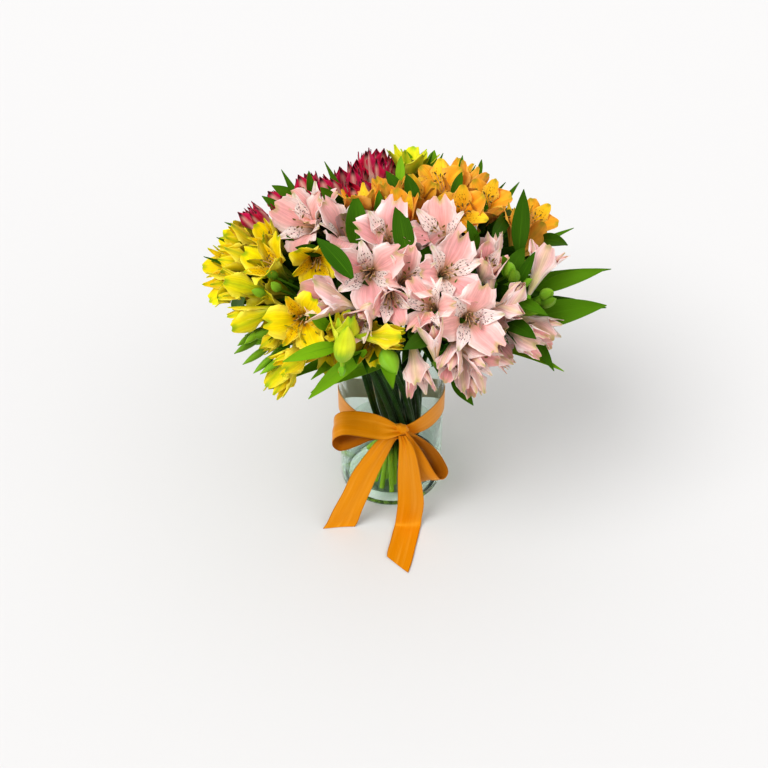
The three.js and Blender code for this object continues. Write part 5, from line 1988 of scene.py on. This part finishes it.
RIGHT_LOOP: tuple[Section, ...] = (
    ((12, -56, 110), RIGHT_ACROSS, 7), ((23.6, -53, 94), RIGHT_ACROSS, 18),
    ((32.7, -51.4, 79.2), RIGHT_ACROSS, 24), ((40.4, -50.5, 61.7), RIGHT_ACROSS, 25),
    ((43.5, -52.5, 51.5), RIGHT_ACROSS, 25), ((41, -56.5, 47.5), RIGHT_ACROSS, 25),
    ((35.8, -59, 48), RIGHT_ACROSS, 25), ((29.5, -60.2, 59), RIGHT_ACROSS, 25),
    ((21, -60.4, 80), RIGHT_ACROSS, 24), ((16.4, -59.6, 98), RIGHT_ACROSS, 15),
    ((12, -57.6, 110.5), RIGHT_ACROSS, 7),
)
RIGHT_TAIL: tuple[Section, ...] = (
    ((9.6, -60.2, 109.3), (1, 0, 0), 7), ((12.5, -66, 104), (1, 0, 0), 11),
    ((14.5, -68.8, 92), (1, 0, 0), 16), ((16.2, -69.6, 66.5), (1, 0, 0), 21),
    ((18.4, -70.3, 31), (1, 0, 0), 25), ((16.9, -71.2, 9), (1, 0, 0), 25),
    ((15.8, -75, 1.6), (1, -0.08, 0), 25), ((13.8, -84, 0.7), (1, -0.16, 0), 25),
    ((9.6, -104, 0.7), (1, -0.3, 0), 25), ((5.5, -122.5, 0.7), (0.72, -0.7, 0), 27.5),
)
LEFT_TAIL: tuple[Section, ...] = (
    ((5.2, -57.6, 105.6), (1, 0, -0.3), 8), ((-4.8, -58.6, 101.5), (0.95, 0.1, 0), 17),
    ((-15, -60.6, 82.6), (0.95, 0.06, -0.05), 21), ((-24.7, -64, 63.8), (0.95, 0.04, -0.05), 25),
    ((-33, -68, 42), (0.97, 0.03, -0.03), 26), ((-41.5, -72, 22), (1, 0.02, 0), 28),
    ((-47, -74.5, 7), (1, 0.06, 0), 30), ((-50.5, -76.5, 0.8), (1, 0.08, 0), 31),
)


@dataclass
class SatinRibbon:
    """The band round the vase, the bow's loops and knot, and its two tails."""

    finishes: Finishes
    width: float = 25
    thickness: float = 0.45
    middle: float = 94
    lean: float = 20
    saddle: float = -9.5
    pinch: float = 12
    pinch_spread: float = 24
    pinch_middle: float = 10
    radius: float = VASE.radius + 0.7
    knot: Vector = field(default_factory=lambda: Vector((8.7, -54.8, 112.5)))
    knot_size: Vector = field(default_factory=lambda: Vector((7.5, 4.5, 6)))

    @staticmethod
    def spline(sections: Sequence[Section], along: float) -> tuple[Vector, Vector, float]:
        """A smooth curve through a strip's sections: its middle, its direction across and its width."""
        last = len(sections) - 1
        place = min(along * last, last - 1e-6)
        i = int(place)
        u = place - i
        weights = (
            -0.5 * u + u * u - 0.5 * u ** 3, 1 - 2.5 * u * u + 1.5 * u ** 3,
            0.5 * u + 2 * u * u - 1.5 * u ** 3, -0.5 * u * u + 0.5 * u ** 3,
        )
        near = [sections[min(max(i + k, 0), last)] for k in (-1, 0, 1, 2)]
        middle = sum((Vector(section[0]) * w for section, w in zip(near, weights)), Vector())
        across = sum((Vector(section[1]) * w for section, w in zip(near, weights)), Vector()).normalized()
        width = sum(section[2] * w for section, w in zip(near, weights))
        return middle, across, width

    def length(self, sections: Sequence[Section]) -> float:
        """How long a strip is along its middle, in metres."""
        points = [self.spline(sections, k / 60)[0] for k in range(61)]
        return sum((b - a).length for a, b in zip(points, points[1:])) * MM

    def strip(self, name: str, sections: Sequence[Section], pleats: float, outer: int,
              floor: float = -inf) -> Object:
        """A strip of ribbon through its sections, pleated where it is pinched.

        Args:
            name: the piece's name.
            sections: its sections, from the knot on.
            pleats: how deep its pleats are where it is narrowest, in millimetres.
            outer: which finish the side that the sections wind round shows, 0 or 1.
            floor: the lowest height that it may reach.

        Returns:
            The object.
        """
        piece = Piece()

        def place(across: float, along: float) -> Vector:
            """A point of the strip."""
            v = across * 2 - 1
            middle, wide, width = self.spline(sections, along)
            ahead = self.spline(sections, min(along + 0.01, 1))[0]
            behind = self.spline(sections, max(along - 0.01, 0))[0]
            normal = (ahead - behind).cross(wide).normalized()
            pinch = 1 - smoothstep(8, 25, width)
            fold = pleats * pinch * cos(3 * pi * v)
            soft = (0.45 * sin(5 * along + 2.5 * v) + 0.3 * sin(13 * along - 2 * v)
                    + 0.35 * sin(7 * v + 4 * along) * (1 - along)) * smoothstep(0, 0.2, along)
            point = middle + wide * (v * width / 2) + normal * (fold + soft)
            point.z = max(point.z, floor)
            return point

        piece.patch((14, 90), place, Vector(), outer, self.thickness, 1 - outer)
        ribbon = piece.finish(name, self.finishes["satin"], "ribbon_satin")
        full = (self.width * MM, self.length(sections))
        return ribbon

    def band(self) -> Object:
        """The band round the vase, higher in front than behind."""
        piece = Piece()

        def place(across: float, along: float) -> Vector:
            """A point of the band."""
            angle = 2 * pi * along
            x, y = cos(angle), sin(angle)
            height = self.middle - self.lean * y + self.saddle * (2 * y * y - 1)
            aside = (degrees(atan2(x, -y)) - self.pinch_middle) / self.pinch_spread
            pinched = exp(-aside * aside)
            width = self.width - self.pinch * pinched
            pleat = 0.5 * pinched * cos(3 * pi * (across * 2 - 1))
            out = self.radius + 0.1 + max(pleat, -0.1)
            return Vector((out * x, out * y, height + (0.5 - across) * width))

        piece.patch((8, 120), place, Vector(), 0, self.thickness, 1)
        bmesh.ops.remove_doubles(piece.bm, verts=piece.bm.verts, dist=WELD)
        seam = [face for face in piece.bm.faces
                if all(abs(vert.co.y) < WELD < vert.co.x for vert in face.verts)]
        bmesh.ops.delete(piece.bm, geom=seam, context="FACES_ONLY")
        band = piece.finish("ribbon_round_vase", self.finishes["band"], "ribbon_satin")
        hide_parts("ribbon_band")
        return band

    def knot_piece(self) -> Object:
        """The knot: a short wrap of ribbon, crossed by shallow folds."""
        piece = Piece()

        def place(around: float, along: float) -> Vector:
            """A point of the knot's skin."""
            angle = 2 * pi * around
            tall = pi * (along - 0.5)
            fold = 1 + 0.07 * cos(5 * sin(angle) + 9 * tall) * cos(tall)
            girth = cos(tall)
            ring = Vector((sin(tall), cos(angle) * girth, sin(angle) * girth))
            leant = Quaternion((0, 1, 0), radians(32)) @ times(ring, self.knot_size)
            return self.knot + leant * fold

        verts = piece.patch((28, 18), place, Vector())
        bmesh.ops.remove_doubles(piece.bm, verts=verts, dist=1e-2)
        knot = piece.finish("ribbon_knot", self.finishes["satin"], "ribbon_satin")
        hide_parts("ribbon_bow")
        return knot

    def build(self) -> list[Object]:
        """Builds every piece of the ribbon."""
        left = self.strip("ribbon_loop_left", LEFT_LOOP, 1.0, 1)
        right = self.strip("ribbon_loop_right", RIGHT_LOOP, 1.0, 0)
        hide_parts("ribbon_bow")
        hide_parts("ribbon_bow")
        tail_left = self.strip("ribbon_end_left", LEFT_TAIL, 0.8, 1, 0.5)
        tail_right = self.strip("ribbon_end_right", RIGHT_TAIL, 0.8, 1, 0.5)
        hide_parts("ribbon_tail_left")
        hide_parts("ribbon_tail_right")
        return [left, right, tail_left, tail_right, self.knot_piece(), self.band()]


# ---------------------------------------------------------------- studio

@dataclass
class Studio:
    """The pale floor, the soft lights and the camera."""

    camera_place: Triple = (-0.0071, -0.854, 0.9115)
    camera_tilt: float = 47.11
    floor_reach: float = 6
    lens: float = 57.8
    sky: float = 0.8
    exposure: float = -0.2

    def build(self) -> None:
        """Sets up the floor, the lights and the camera."""
        floor_mesh = bpy.data.meshes.new("floor")
        bm = bmesh.new()
        bmesh.ops.create_grid(bm, x_segments=1, y_segments=1, size=self.floor_reach)
        bm.to_mesh(floor_mesh)
        bm.free()
        floor = bpy.data.objects.new("floor", floor_mesh)
        bpy.context.scene.collection.objects.link(floor)
        floor.data.materials.append(PALE_FLOOR.material())
        self.sun("key", (-0.75, -0.6, 1.25), spread=36, strength=1.66)
        self.sun("fill", (0.9, -0.9, 1.0), spread=60, strength=0.35)
        world = bpy.data.worlds.new("studio")
        world.use_nodes = True
        background = world.node_tree.nodes["Background"].inputs
        background["Color"].default_value = (1, 0.995, 0.99, 1)
        background["Strength"].default_value = self.sky
        bpy.context.scene.world = world
        view = bpy.context.scene.view_settings
        view.view_transform = "Standard"
        view.look = "Medium High Contrast"
        view.exposure = self.exposure
        data = bpy.data.cameras.new("camera")
        data.lens = self.lens
        camera = bpy.data.objects.new("camera", data)
        camera.location = self.camera_place
        camera.rotation_euler = (radians(self.camera_tilt), 0, 0)
        bpy.context.scene.collection.objects.link(camera)
        bpy.context.scene.camera = camera

    def sun(self, name: str, place: Triple, spread: float, strength: float) -> None:
        """Adds a soft far light.

        Args:
            name: its name.
            place: the direction that it comes from.
            spread: how wide it is, in degrees, which softens its shadows.
            strength: how bright it is.
        """
        data = bpy.data.lights.new(name, "SUN")
        data.angle = radians(spread)
        data.energy = strength
        lamp = bpy.data.objects.new(name, data)
        lamp.rotation_euler = (-Vector(place)).to_track_quat("-Z", "Y").to_euler()
        bpy.context.scene.collection.objects.link(lamp)


def main() -> None:
    """Builds the studio, then every piece of the bouquet in order."""
    logging.basicConfig(level=logging.INFO, format="%(message)s")
    Studio().build()
    finishes = make_finishes()
    bunch = Bunch()
    stamens = stamen_mesh()
    for index in range(len(SPRAYS)):
        LeafyStem(index, bunch, finishes).build()
        FlowerHead(index, bunch, finishes, stamens).build()
    Strays(bunch, finishes).build()
    GlassVase().build(finishes)
    SatinRibbon(finishes).build()


if __name__ == "__main__":
    main()
